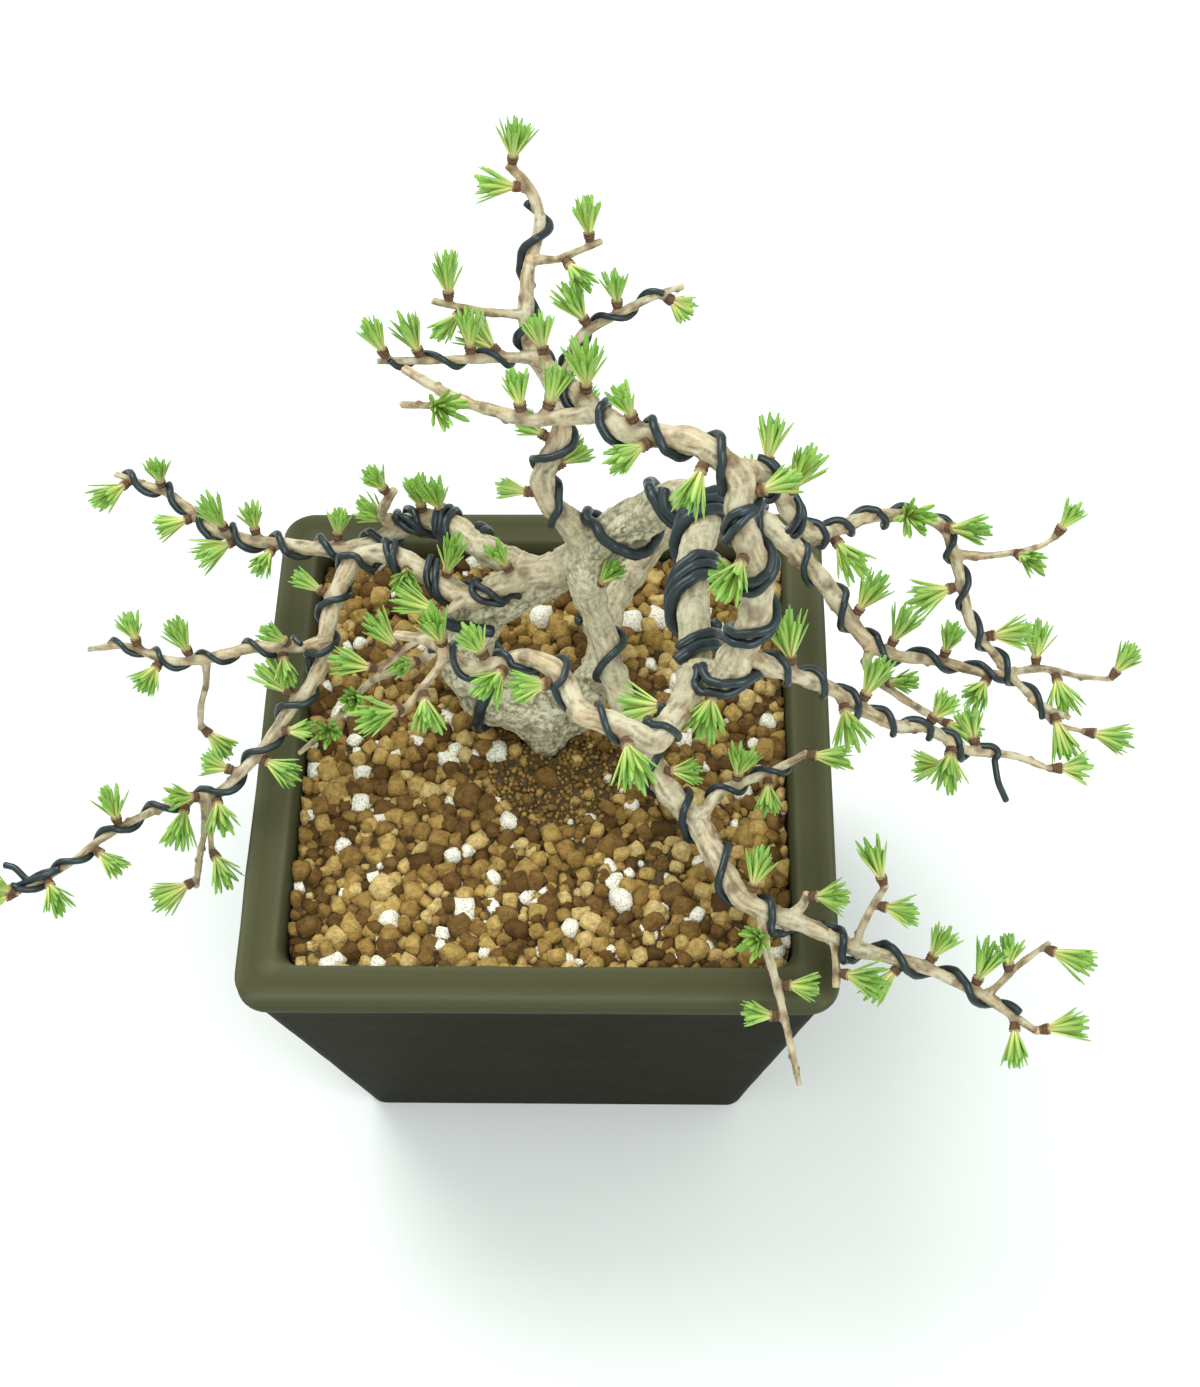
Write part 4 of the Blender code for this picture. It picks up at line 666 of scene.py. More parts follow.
class Wood:
    """Tubes and lumps gathered to be grown together into one skin."""

    def __init__(self):
        self.points = []
        self.faces = []
        self.paths = []
        self.knobs = []

    def add(self, shape):
        points, faces = shape
        self.faces += faces
        self.points += list(points)

    def stem(self, path, sides=FINE_SIDES):
        self.paths.append(path)
        self.add(tube(path, sides, len(self.points)))

    def knob(self, centre, radius):
        self.knobs.append((*centre, radius))
        self.add(lump(centre, radius, len(self.points)))

    def skin(self, name, voxel, finish):
        """The gathered shapes as one voxel skin."""
        obj = mesh_object(name, self.points, self.faces)
        remesh = obj.modifiers.new("skin", "REMESH")
        remesh.mode = "VOXEL"
        remesh.voxel_size = voxel * MM
        settle(obj)
        obj.data.materials.clear()
        obj.data.materials.append(finish)
        return obj

    def nearest(self, spots):
        """For each spot: its stem's radius there, the mm along it, the angle round it and how far it is from
        the stem's nearer end.
        """
        found = [[], [], [], []]
        rows = []
        for number, path in enumerate(self.paths):
            _, side, up = frames(path)
            along = arc_lengths(path)
            ends = np.minimum(along, along[-1] - along)
            rows.append(np.hstack([path, side, up, along[:, None] + GRAIN_GAP * number, ends[:, None]]))
        rows = np.vstack(rows)
        for start in range(0, len(spots), BATCH):
            part = spots[start:start + BATCH]
            away = part[:, None, :] - rows[None, :, :3]
            distance = np.linalg.norm(away, axis=2) - rows[:, 3]
            pick = distance.argmin(1)
            out = away[np.arange(len(part)), pick]
            row = rows[pick]
            angle = np.arctan2((out * row[:, 7:10]).sum(1), (out * row[:, 4:7]).sum(1))
            found[0].append(row[:, 3])
            found[1].append(row[:, 10])
            found[2].append(angle)
            found[3].append(row[:, 11])
        return [np.concatenate(f) for f in found]


def vertex_array(mesh, normals=False):
    flat = np.empty(len(mesh.vertices) * 3)
    (mesh.vertex_normals if normals else mesh.vertices).foreach_get("vector" if normals else "co", flat)
    return flat.reshape(-1, 3)


def move(mesh, spots):
    """Moves the mesh's vertices to these places in mm."""
    mesh.vertices.foreach_set("co", (spots * MM).ravel())
    mesh.update()


def store(mesh, name, values):
    """Keeps one number or one vector for each vertex under a name that the materials read."""
    vector = np.ndim(values) == 2
    made = mesh.attributes.new(name, "FLOAT_VECTOR" if vector else "FLOAT", "POINT")
    made.data.foreach_set("vector" if vector else "value", np.ascontiguousarray(values, np.float32).ravel())


def barked(obj, wood, knots=()):
    """Raises bark on a skin: lengthwise ridges on young stems, cracked plates and lumps on old ones; its
    cracks, grooves and knot holes are kept for painted shade.
    """
    noise.seed_set(BARK_SEED)
    mesh = obj.data
    spots = vertex_array(mesh) / MM
    normals = vertex_array(mesh, True)
    radius, along, angle, ends = wood.nearest(spots)
    age = np.clip((radius - YOUNG_RADIUS) / AGEING, 0, 1)
    grain = np.stack([np.cos(angle) * radius, np.sin(angle) * radius, along], 1)
    height = np.zeros(len(spots))
    # Painted shade: how much the cracks, the grooves between ridges and the knot holes are darkened
    hollow_shade = np.zeros(len(spots))
    for i, (spot, g) in enumerate(zip(spots, grain)):
        r, old = radius[i], age[i]
        ridge = noise.noise(Vector((g[0] * 0.9, g[1] * 0.9, g[2] * 0.2)))
        fine = noise.fractal(Vector(spot) * 0.9, 0.8, 2.1, 3)
        rise = ridge * RIDGE * min(r, 3) ** 0.5 + fine * 0.07
        if old > 0:
            wander = noise.noise_vector(Vector(spot) * 0.35) * 1.2
            near = noise.voronoi(Vector((g[0] * 0.42, g[1] * 0.42, g[2] * 0.15)) + wander * 0.6)[0]
            crack = max(0.0, 1 - (near[1] - near[0]) / CRACK_WIDTH)
            lumps = noise.fractal(Vector(spot) * 0.14, 0.9, 2.0, 3)
            size = min(r / 8, 1.0)
            rise += old * (lumps * LUMP_HEIGHT * size + fine * 0.22 - crack * CRACK_DEPTH * size)
            hollow_shade[i] = old * crack
        height[i] = rise
        hollow_shade[i] = max(hollow_shade[i], min(1, max(0.0, -ridge - fine * 0.4) * 1.3) * (1 - old * 0.5))
    for x, y, z, size in knots:
        off = np.linalg.norm(spots - (x, y, z), axis=1) / size
        height += size * (0.35 * np.exp(-((off - 1) / 0.35) ** 2) - 0.8 * np.exp(-((off / 0.62) ** 4)))
        hollow_shade = np.maximum(hollow_shade, np.clip(1.25 - off, 0, 1))
    knob = np.zeros(len(spots))
    for x, y, z, size in wood.knobs:
        off = np.linalg.norm(spots - (x, y, z), axis=1) / size
        knob = np.maximum(knob, np.clip(1.7 - off, 0, 1))
    move(mesh, spots + normals * height[:, None])
    cut = np.clip(1 - ends / 0.5, 0, 1) * (radius < 2.2)
    for name, values in (("grain", grain), ("hollow_shade", hollow_shade), ("age", age), ("knob", knob), ("cut", cut)):
        store(mesh, name, values)
    mesh.shade_smooth()
    return obj


def twig_knobs(wood, path, seed, tufts):
    """Old leaf cushions up a stem, a third of a turn apart, left out where a spur stands."""
    draw = np.random.default_rng(seed)
    _, side, up = frames(path)
    along = arc_lengths(path)
    place, turn = draw.uniform(2.5, 5), draw.uniform(0, 6.3)
    while place < along[-1] - 1:
        i = int(np.searchsorted(along, place))
        radius = path[i, 3]
        out = math.cos(turn) * side[i] + math.sin(turn) * up[i]
        spot = path[i, :3] + out * radius * 0.8
        if radius < 3.4 and min([np.linalg.norm(spot - t) for t in tufts] + [9]) > 3:
            wood.knob(spot, 0.35 * radius + 0.38)
        place += draw.uniform(3.2, 7.5)
        turn += 2.4 + draw.uniform(-0.5, 0.5)


def feed(tree, socket, value):
    """Links a socket to another node's, or gives it a plain value."""
    if isinstance(value, bpy.types.NodeSocket):
        tree.links.new(value, socket)
    else:
        socket.default_value = value


def add_node(tree, kind, settings=None, sockets=None):
    """A node with its settings, and each socket given a value or linked from another node's socket."""
    made = tree.nodes.new(kind)
    for key, value in (settings or {}).items():
        setattr(made, key, value)
    for key, value in (sockets or {}).items():
        feed(tree, made.inputs[key], value)
    return made


def fresh_material(name):
    made = bpy.data.materials.new(name)
    made.use_nodes = True
    tree = made.node_tree
    return made, tree, tree.nodes["Principled BSDF"]


def ramp(tree, factor, stops):
    """A colour ramp's colour, through stops of (place, colour)."""
    made = add_node(tree, "ShaderNodeValToRGB", None, {"Fac": factor})
    elements = made.color_ramp.elements
    while len(elements) < len(stops):
        elements.new(0.5)
    for element, (place, colour) in zip(elements, stops):
        element.position = place
        element.color = (*colour, 1) if len(colour) == 3 else (colour[0],) * 3 + (1,)
    return made.outputs["Color"]


def blend(tree, factor, a, b, mode="MIX"):
    made = tree.nodes.new("ShaderNodeMix")
    made.data_type = "RGBA"
    made.blend_type = mode
    for key, value in (("Factor_Float", factor), ("A_Color", a), ("B_Color", b)):
        socket = next(s for s in made.inputs if s.identifier == key)
        feed(tree, socket, (*value, 1) if isinstance(value, tuple) else value)
    return next(s for s in made.outputs if s.identifier == "Result_Color")


def maths(tree, operation, a, b=0.0, clamp=False):
    made = add_node(tree, "ShaderNodeMath", {"operation": operation, "use_clamp": clamp}, {0: a, 1: b})
    return made.outputs[0]


def attribute(tree, name, vector=False):
    made = add_node(tree, "ShaderNodeAttribute", {"attribute_name": name})
    return made.outputs["Vector" if vector else "Fac"]


def place(tree):
    return add_node(tree, "ShaderNodeTexCoord").outputs["Object"]


def noise_at(tree, vector, scale, detail=4.0, roughness=0.55, distortion=0.0):
    made = add_node(tree, "ShaderNodeTexNoise", None, {
        "Vector": vector, "Scale": scale, "Detail": detail, "Roughness": roughness, "Distortion": distortion})
    return made.outputs["Fac"]


def cells_at(tree, vector, scale):
    made = add_node(tree, "ShaderNodeTexVoronoi", None, {"Vector": vector, "Scale": scale})
    return made.outputs["Distance"]


def stretched(tree, vector, scale):
    return add_node(tree, "ShaderNodeMapping", None, {"Vector": vector, "Scale": scale}).outputs["Vector"]


def bump(tree, shader, height, distance, strength=1.0, below=None):
    """Relief on a shader's normal, over any relief below it."""
    sockets = {"Height": height, "Distance": distance, "Strength": strength}
    if below:
        sockets["Normal"] = below
    made = add_node(tree, "ShaderNodeBump", None, sockets)
    tree.links.new(made.outputs["Normal"], shader.inputs["Normal"])
    return made.outputs["Normal"]


def coated(tree, shader, colour, roughness, specular=0.5):
    """Gives the shader its colour and gloss."""
    feed(tree, shader.inputs["Base Color"], colour)
    feed(tree, shader.inputs["Roughness"], roughness)
    shader.inputs["Specular IOR Level"].default_value = specular


def between(tree, factor, low, high):
    """A number from low to high as the factor goes from 0 to 1."""
    made = add_node(tree, "ShaderNodeMapRange", None, {"Value": factor, "To Min": low, "To Max": high})
    return made.outputs["Result"]


def bark_finish(settings):
    """Old and young larch bark in one material, which the age kept on each vertex tells apart."""
    made, tree, shader = fresh_material("larch_bark")
    grain = attribute(tree, "grain", True)
    spot = place(tree)
    hollow_shade = maths(tree, "MULTIPLY", attribute(tree, "hollow_shade"), 0.8, True)
    knob = maths(tree, "MULTIPLY", attribute(tree, "knob"), 0.75, True)
    streaks = noise_at(tree, stretched(tree, grain, (1.0, 1.0, 0.16)), 0.9, 6, 0.6, 0.4)
    blotch = noise_at(tree, spot, 130, 5, 0.6)
    fleck = noise_at(tree, spot, 620, 6, 0.68, 0.3)
    flakes = cells_at(tree, stretched(tree, grain, (1, 1, 0.5)), 1.25)
    young = ramp(tree, streaks, [(0.28, (0.2, 0.145, 0.08)), (0.42, tuple(settings.young_colour)),
                                 (0.58, (0.6, 0.5, 0.32)), (0.8, (0.78, 0.72, 0.54))])
    young = blend(tree, ramp(tree, blotch, [(0.42, (0,)), (0.6, (0.8,))]), young, (0.64, 0.6, 0.43))
    old = ramp(tree, fleck, [(0.25, (0.2, 0.17, 0.095)), (0.38, (0.48, 0.44, 0.27)),
                             (0.52, tuple(settings.old_colour)), (0.7, (0.9, 0.89, 0.7))])
    old = blend(tree, ramp(tree, flakes, [(0.1, (0.5,)), (0.5, (0,))]), old, (0.84, 0.82, 0.62))
    old = blend(tree, ramp(tree, blotch, [(0.42, (0,)), (0.66, (0.45,))]), old, (0.45, 0.4, 0.26), "MULTIPLY")
    colour = blend(tree, attribute(tree, "age"), young, old)
    # Painted shade in the cracks, grooves and knot holes
    colour = blend(tree, hollow_shade, colour, (0.1, 0.075, 0.04))
    colour = blend(tree, knob, colour, tuple(settings.bud_colour))
    colour = blend(tree, attribute(tree, "cut"), colour, (0.62, 0.47, 0.28))
    coated(tree, shader, colour, 0.82, 0.25)
    low = bump(tree, shader, fleck, 0.0009, 0.55)
    bump(tree, shader, streaks, 0.0006, 0.45, low)
    return made


def glaze_finish(settings):
    """A dark olive satin glaze with a fine speckle, painted lighter on the lip as lit from above, and paler
    along the arrises, partly glaze worn thin and partly a painted highlight.
    """
    made, tree, shader = fresh_material("olive_glaze")
    spot = place(tree)
    cloud = noise_at(tree, spot, 22, 4, 0.6)
    speck = noise_at(tree, spot, 900, 3, 0.7)
    # Paler arrises: partly glaze worn thin, partly a painted highlight
    worn = maths(tree, "MULTIPLY", attribute(tree, "worn_and_highlit_edge"), 0.45, True)
    full = tuple(settings.colour)
    colour = ramp(tree, cloud, [(0.3, tuple(c * 0.78 for c in full)), (0.7, full)])
    colour = blend(tree, ramp(tree, speck, [(0.62, (0,)), (0.72, (0.3,))]), colour, (0.085, 0.078, 0.05))
    # Painted light: the lip band is coloured lighter than the wall, as lit from above
    colour = blend(tree, attribute(tree, "lip"), colour, tuple(settings.lit_lip_colour))
    colour = blend(tree, worn, colour, (0.17, 0.175, 0.105))
    coated(tree, shader, colour, between(tree, cloud, 0.44, 0.58), 0.02)
    low = bump(tree, shader, noise_at(tree, spot, 60, 3, 0.5), 0.0008, 0.35)
    bump(tree, shader, speck, 0.0001, 0.3, low)
    return made


def grit_finish(settings):
    """Fired clay, lava and white pumice, each grain's own tone picking which it is."""
    made, tree, shader = fresh_material("grit")
    tone = attribute(tree, "tone")
    spot = place(tree)
    mottle = noise_at(tree, spot, 500, 5, 0.65)
    pits = cells_at(tree, spot, 1500)
    white = maths(tree, "GREATER_THAN", tone, 1 - settings.pumice_share)
    clay = ramp(tree, tone, [(0.0, (0.1, 0.052, 0.014)), (0.2, (0.185, 0.105, 0.03)),
                             (0.4, (0.3, 0.185, 0.052)), (0.6, (0.43, 0.29, 0.085)),
                             (0.78, (0.56, 0.4, 0.135)), (0.9, (0.68, 0.53, 0.23))])
    dusty = ramp(tree, mottle, [(0.3, (0.5, 0.46, 0.42)), (0.6, (1.0, 0.98, 0.95)), (0.8, (1.3, 1.25, 1.15))])
    clay = blend(tree, 1.0, clay, dusty, "MULTIPLY")
    # Painted shade: the pumice is darker in its pits
    pumice = ramp(tree, pits, [(0.12, (0.34, 0.3, 0.18)), (0.34, (0.78, 0.76, 0.6)),
                               (0.7, (0.92, 0.91, 0.8))])
    coated(tree, shader, blend(tree, white, clay, pumice), 0.92, 0.2)
    low = bump(tree, shader, mottle, 0.0012, 0.5)
    bump(tree, shader, pits, 0.0005, 0.5, low)
    return made


def painted_shade_bed_finish():
    """The soil bed between and under the grains, painted dark as the shade in the gaps between them."""
    made, tree, shader = fresh_material("soil_bed")
    dust = noise_at(tree, place(tree), 900, 6, 0.7)
    coated(tree, shader, ramp(tree, dust, [(0.3, (0.035, 0.022, 0.008)), (0.7, (0.16, 0.105, 0.035))]), 0.95)
    bump(tree, shader, dust, 0.001, 0.8)
    return made


def needle_finish(settings):
    """Spring needles, pale yellow-green at the foot and greener towards the tip."""
    made, tree, shader = fresh_material("needle")
    colour = ramp(tree, attribute(tree, "along"), [
        (0.0, tuple(settings.foot_colour)), (0.4, tuple(settings.middle_colour)),
        (0.95, tuple(settings.tip_colour))])
    shift = ramp(tree, attribute(tree, "tone"), [
        (0.0, (0.72, 0.8, 0.7)), (0.5, (1, 1, 1)), (1.0, (1.25, 1.12, 1.1))])
    coated(tree, shader, blend(tree, 1.0, colour, shift, "MULTIPLY"), 0.5, 0.35)
    shader.inputs["Subsurface Weight"].default_value = 0.25
    shader.inputs["Subsurface Radius"].default_value = (0.4, 1.0, 0.15)
    shader.inputs["Subsurface Scale"].default_value = 0.0012
    bump(tree, shader, noise_at(tree, place(tree), 900, 3, 0.5), 0.0001, 0.4)
    return made


def spur_finish(settings):
    """Short shoots: dark red-brown rings of old bud scales, papery and pale at the mouth."""
    made, tree, shader = fresh_material("spur_bark")
    along = attribute(tree, "along")
    scales = noise_at(tree, place(tree), 1100, 4, 0.65)
    rings = maths(tree, "SINE", maths(tree, "MULTIPLY", along, 26.0))
    colour = ramp(tree, along, [(0.0, (0.19, 0.125, 0.075)), (0.35, tuple(settings.bud_colour)),
                                (0.8, (0.19, 0.105, 0.05)), (0.97, (0.5, 0.42, 0.2))])
    shade = ramp(tree, scales, [(0.3, (0.45, 0.42, 0.4)), (0.7, (1.35, 1.25, 1.15))])
    coated(tree, shader, blend(tree, 1.0, colour, shade, "MULTIPLY"), 0.75)
    low = bump(tree, shader, rings, 0.0004, 0.6)
    bump(tree, shader, scales, 0.0006, 0.6, low)
    return made


def wire_finish(settings):
    """Dark anodised aluminium, rubbed a little paler here and there."""
    made, tree, shader = fresh_material("anodised_wire")
    spot = place(tree)
    rub = noise_at(tree, spot, 240, 5, 0.65)
    shares = ((0.35, 0.7), (0.62, 1), (0.8, 1.9))
    shades = [(x, tuple(c * share for c in settings.colour)) for x, share in shares]
    coated(tree, shader, ramp(tree, rub, shades), between(tree, rub, 0.24, 0.42))
    shader.inputs["Metallic"].default_value = 0.55
    bump(tree, shader, noise_at(tree, spot, 1400, 3, 0.6), 0.00006, 0.5)
    return made


def screen_finish():
    """Black woven plastic, slightly dusty."""
    made, tree, shader = fresh_material("screen_plastic")
    dust = noise_at(tree, place(tree), 400, 4, 0.6)
    coated(tree, shader, ramp(tree, dust, [(0.4, (0.012, 0.012, 0.012)), (0.8, (0.06, 0.05, 0.04))]), 0.6)
    bump(tree, shader, dust, 0.0002, 0.4)
    return made


def geometry_tree(name, inputs):
    """An empty Geometry Nodes tree with its named inputs, and its group input and output nodes."""
    tree = bpy.data.node_groups.new(name, "GeometryNodeTree")
    tree.interface.new_socket("Geometry", in_out="INPUT", socket_type="NodeSocketGeometry")
    for label, kind in inputs:
        tree.interface.new_socket(label, in_out="INPUT", socket_type="NodeSocket" + kind)
    tree.interface.new_socket("Geometry", in_out="OUTPUT", socket_type="NodeSocketGeometry")
    return tree, tree.nodes.new("NodeGroupInput").outputs, tree.nodes.new("NodeGroupOutput").inputs


def run_tree(obj, tree, values):
    """Runs the tree on the object with its inputs set, and keeps the result as a plain mesh."""
    modifier = obj.modifiers.new(tree.name, "NODES")
    modifier.node_group = tree
    sockets = {s.name: s.identifier for s in tree.interface.items_tree if s.in_out == "INPUT"}
    for label, value in values.items():
        modifier[sockets[label]] = value
    return settle(obj)


def stored(tree, geometry, name, value, domain="POINT"):
    node = add_node(tree, "GeometryNodeStoreNamedAttribute", {"data_type": "FLOAT", "domain": domain},
                    {"Geometry": geometry, "Name": name, "Value": value})
    return node.outputs["Geometry"]


def drawn(tree, low, high, seed, kind="FLOAT"):
    """A random number or vector for each element."""
    first = 2 if kind == "FLOAT" else 0
    node = add_node(tree, "FunctionNodeRandomValue", {"data_type": kind}, {
        first: low, first + 1: high, 8: seed})
    return node.outputs["Value" if kind == "FLOAT" else 0]


def named(tree, name, kind="FLOAT"):
    node = add_node(tree, "GeometryNodeInputNamedAttribute", {"data_type": kind}, {"Name": name})
    return node.outputs["Attribute"]


def vectors(tree, operation, a, b=None):
    """The result of vector maths on a, with a second vector, or a number for SCALE."""
    sockets = {0: a}
    if b is not None:
        sockets["Scale" if operation == "SCALE" else 1] = b
    return add_node(tree, "ShaderNodeVectorMath", {"operation": operation}, sockets).outputs[0]


def profile(tree, factor, ends, middle):
    """A smooth curve of a number over 0 to 1, from its two ends' heights and the points between."""
    made = add_node(tree, "ShaderNodeFloatCurve", None, {"Value": factor})
    points = made.mapping.curves[0].points
    points[0].location = (0, ends[0])
    points[1].location = (1, ends[1])
    for x, y in middle:
        points.new(x, y)
    made.mapping.update()
    return made.outputs[0]


def facing(tree):
    """The turn that brings +Z to each point's own direction."""
    return add_node(tree, "FunctionNodeAlignRotationToVector", {"axis": "Z"}, {
        "Vector": named(tree, "way", "FLOAT_VECTOR")}).outputs[0]


def instances(tree, points, shape, turn, size):
    return add_node(tree, "GeometryNodeInstanceOnPoints", None, {
        "Points": points, "Instance": shape, "Rotation": turn, "Scale": size}).outputs[0]


def realized(tree, geometry):
    return add_node(tree, "GeometryNodeRealizeInstances", None, {"Geometry": geometry}).outputs[0]


def give_out(tree, geometry, given, out):
    """Ends a tree with smooth shading and its material."""
    smooth = add_node(tree, "GeometryNodeSetShadeSmooth", None, {"Geometry": geometry})
    done = add_node(tree, "GeometryNodeSetMaterial", None, {
        "Geometry": smooth.outputs[0], "Material": given["Material"]})
    tree.links.new(done.outputs[0], out[0])
    return tree


def needle_tree():
    """Fans a fixed number of needles out of each point, round the point's own direction."""
    tree, given, out = geometry_tree("Needle tufts", [
        ("Needles", "Int"), ("Length", "Float"), ("Width", "Float"), ("Spread", "Float"), ("Curl", "Float"),
        ("Seed", "Int"), ("Material", "Material")])
    curl = add_node(tree, "ShaderNodeCombineXYZ", None, {"Y": given["Curl"], "Z": 1.0})
    blade = add_node(tree, "GeometryNodeCurveQuadraticBezier", None, {
        "Resolution": 5, "Start": (0, 0, 0), "Middle": (0, 0, 0.55), "End": curl.outputs[0]})
    factor = tree.nodes.new("GeometryNodeSplineParameter").outputs["Factor"]
    blade = stored(tree, blade.outputs[0], "along", factor)
    taper = profile(tree, factor, (0.6, 0.42), ((0.35, 0.95), (0.9, 0.92)))
    circle = add_node(tree, "GeometryNodeCurvePrimitiveCircle", None, {"Resolution": 4, "Radius": 0.5})
    flat = add_node(tree, "GeometryNodeTransform", None, {
        "Geometry": circle.outputs[0], "Scale": (1, 0.42, 1)})
    scale = maths(tree, "MULTIPLY", taper, maths(tree, "DIVIDE", given["Width"], given["Length"]))
    solid = add_node(tree, "GeometryNodeCurveToMesh", None, {
        "Curve": blade, "Profile Curve": flat.outputs[0], "Scale": scale, "Fill Caps": True})
    dots = add_node(tree, "GeometryNodeMeshToPoints", None, {"Mesh": given["Geometry"]})
    many = add_node(tree, "GeometryNodeDuplicateElements", {"domain": "POINT"}, {
        "Geometry": dots.outputs[0], "Amount": given["Needles"]})
    copy = many.outputs["Duplicate Index"]
    sprout = named(tree, "sprout")
    root = maths(tree, "SQRT", maths(tree, "DIVIDE", maths(tree, "ADD", copy, 0.5), given["Needles"]))
    turn = maths(tree, "MULTIPLY", copy, GOLDEN_TURN)
    turn = maths(tree, "ADD", turn, drawn(tree, -0.45, 0.45, given["Seed"]))
    turn = maths(tree, "ADD", turn, maths(tree, "MULTIPLY", sprout, 37.0))
    tilt = maths(tree, "MULTIPLY", maths(tree, "MULTIPLY", root, given["Spread"]), named(tree, "opening"))
    tilt = maths(tree, "ADD", tilt, drawn(tree, -0.09, 0.09, 3))
    euler = add_node(tree, "ShaderNodeCombineXYZ", None, {"X": tilt, "Z": turn})
    local = add_node(tree, "FunctionNodeEulerToRotation", None, {0: euler.outputs[0]})
    ahead = facing(tree)
    spin = add_node(tree, "FunctionNodeRotateRotation", {"rotation_space": "LOCAL"}, {
        "Rotation": ahead, "Rotate By": local.outputs[0]})
    mouth = maths(tree, "MULTIPLY", root, SPUR_MOUTH * MM)
    spoke = add_node(tree, "ShaderNodeCombineXYZ", None, {
        "X": maths(tree, "MULTIPLY", maths(tree, "SINE", turn), mouth),
        "Y": maths(tree, "MULTIPLY", maths(tree, "COSINE", turn), maths(tree, "MULTIPLY", mouth, -1.0))})
    moved = add_node(tree, "FunctionNodeRotateVector", None, {"Vector": spoke.outputs[0], "Rotation": ahead})
    set_out = add_node(tree, "GeometryNodeSetPosition", None, {
        "Geometry": many.outputs["Geometry"], "Offset": moved.outputs[0]})
    length = maths(tree, "MULTIPLY", given["Length"], drawn(tree, 0.8, 1.16, 5))
    length = maths(tree, "MULTIPLY", length, sprout)
    length = maths(tree, "MULTIPLY", length, maths(tree, "ADD", maths(tree, "MULTIPLY", root, -0.1), 1.08))
    size = add_node(tree, "ShaderNodeCombineXYZ", None, {
        "X": given["Length"], "Y": given["Length"], "Z": length})
    placed = instances(tree, set_out.outputs[0], solid.outputs[0], spin.outputs[0], size.outputs[0])
    toned = stored(tree, placed, "tone", drawn(tree, 0.0, 1.0, 9), "INSTANCE")
    return give_out(tree, realized(tree, toned), given, out)


def spur_tree():
    """Stands a ringed short shoot on each point, along the point's own direction."""
    tree, given, out = geometry_tree("Spurs", [
        ("Radius", "Float"), ("Rings", "Float"), ("Material", "Material")])
    line = add_node(tree, "GeometryNodeCurvePrimitiveLine", None, {"Start": (0, 0, 0), "End": (0, 0, 1)})
    line = add_node(tree, "GeometryNodeResampleCurve", None, {"Curve": line.outputs[0], "Count": 11})
    factor = tree.nodes.new("GeometryNodeSplineParameter").outputs["Factor"]
    line = stored(tree, line.outputs[0], "along", factor)
    rings = maths(tree, "SINE", maths(tree, "MULTIPLY", factor, given["Rings"]))
    barrel = profile(tree, factor, (0.62, 0.55), ((0.25, 0.72), (0.6, 0.9), (0.88, 0.95)))
    ringed = maths(tree, "ADD", barrel, maths(tree, "MULTIPLY", rings, 0.09))
    circle = add_node(tree, "GeometryNodeCurvePrimitiveCircle", None, {"Resolution": 9, "Radius": 1.0})
    solid = add_node(tree, "GeometryNodeCurveToMesh", None, {
        "Curve": line, "Profile Curve": circle.outputs[0], "Fill Caps": True,
        "Scale": maths(tree, "MULTIPLY", ringed, given["Radius"])})
    dots = add_node(tree, "GeometryNodeMeshToPoints", None, {"Mesh": given["Geometry"]})
    size = add_node(tree, "ShaderNodeCombineXYZ", None, {"X": 1.0, "Y": 1.0, "Z": named(tree, "reach")})
    placed = instances(tree, dots.outputs[0], solid.outputs[0], facing(tree), size.outputs[0])
    return give_out(tree, realized(tree, placed), given, out)


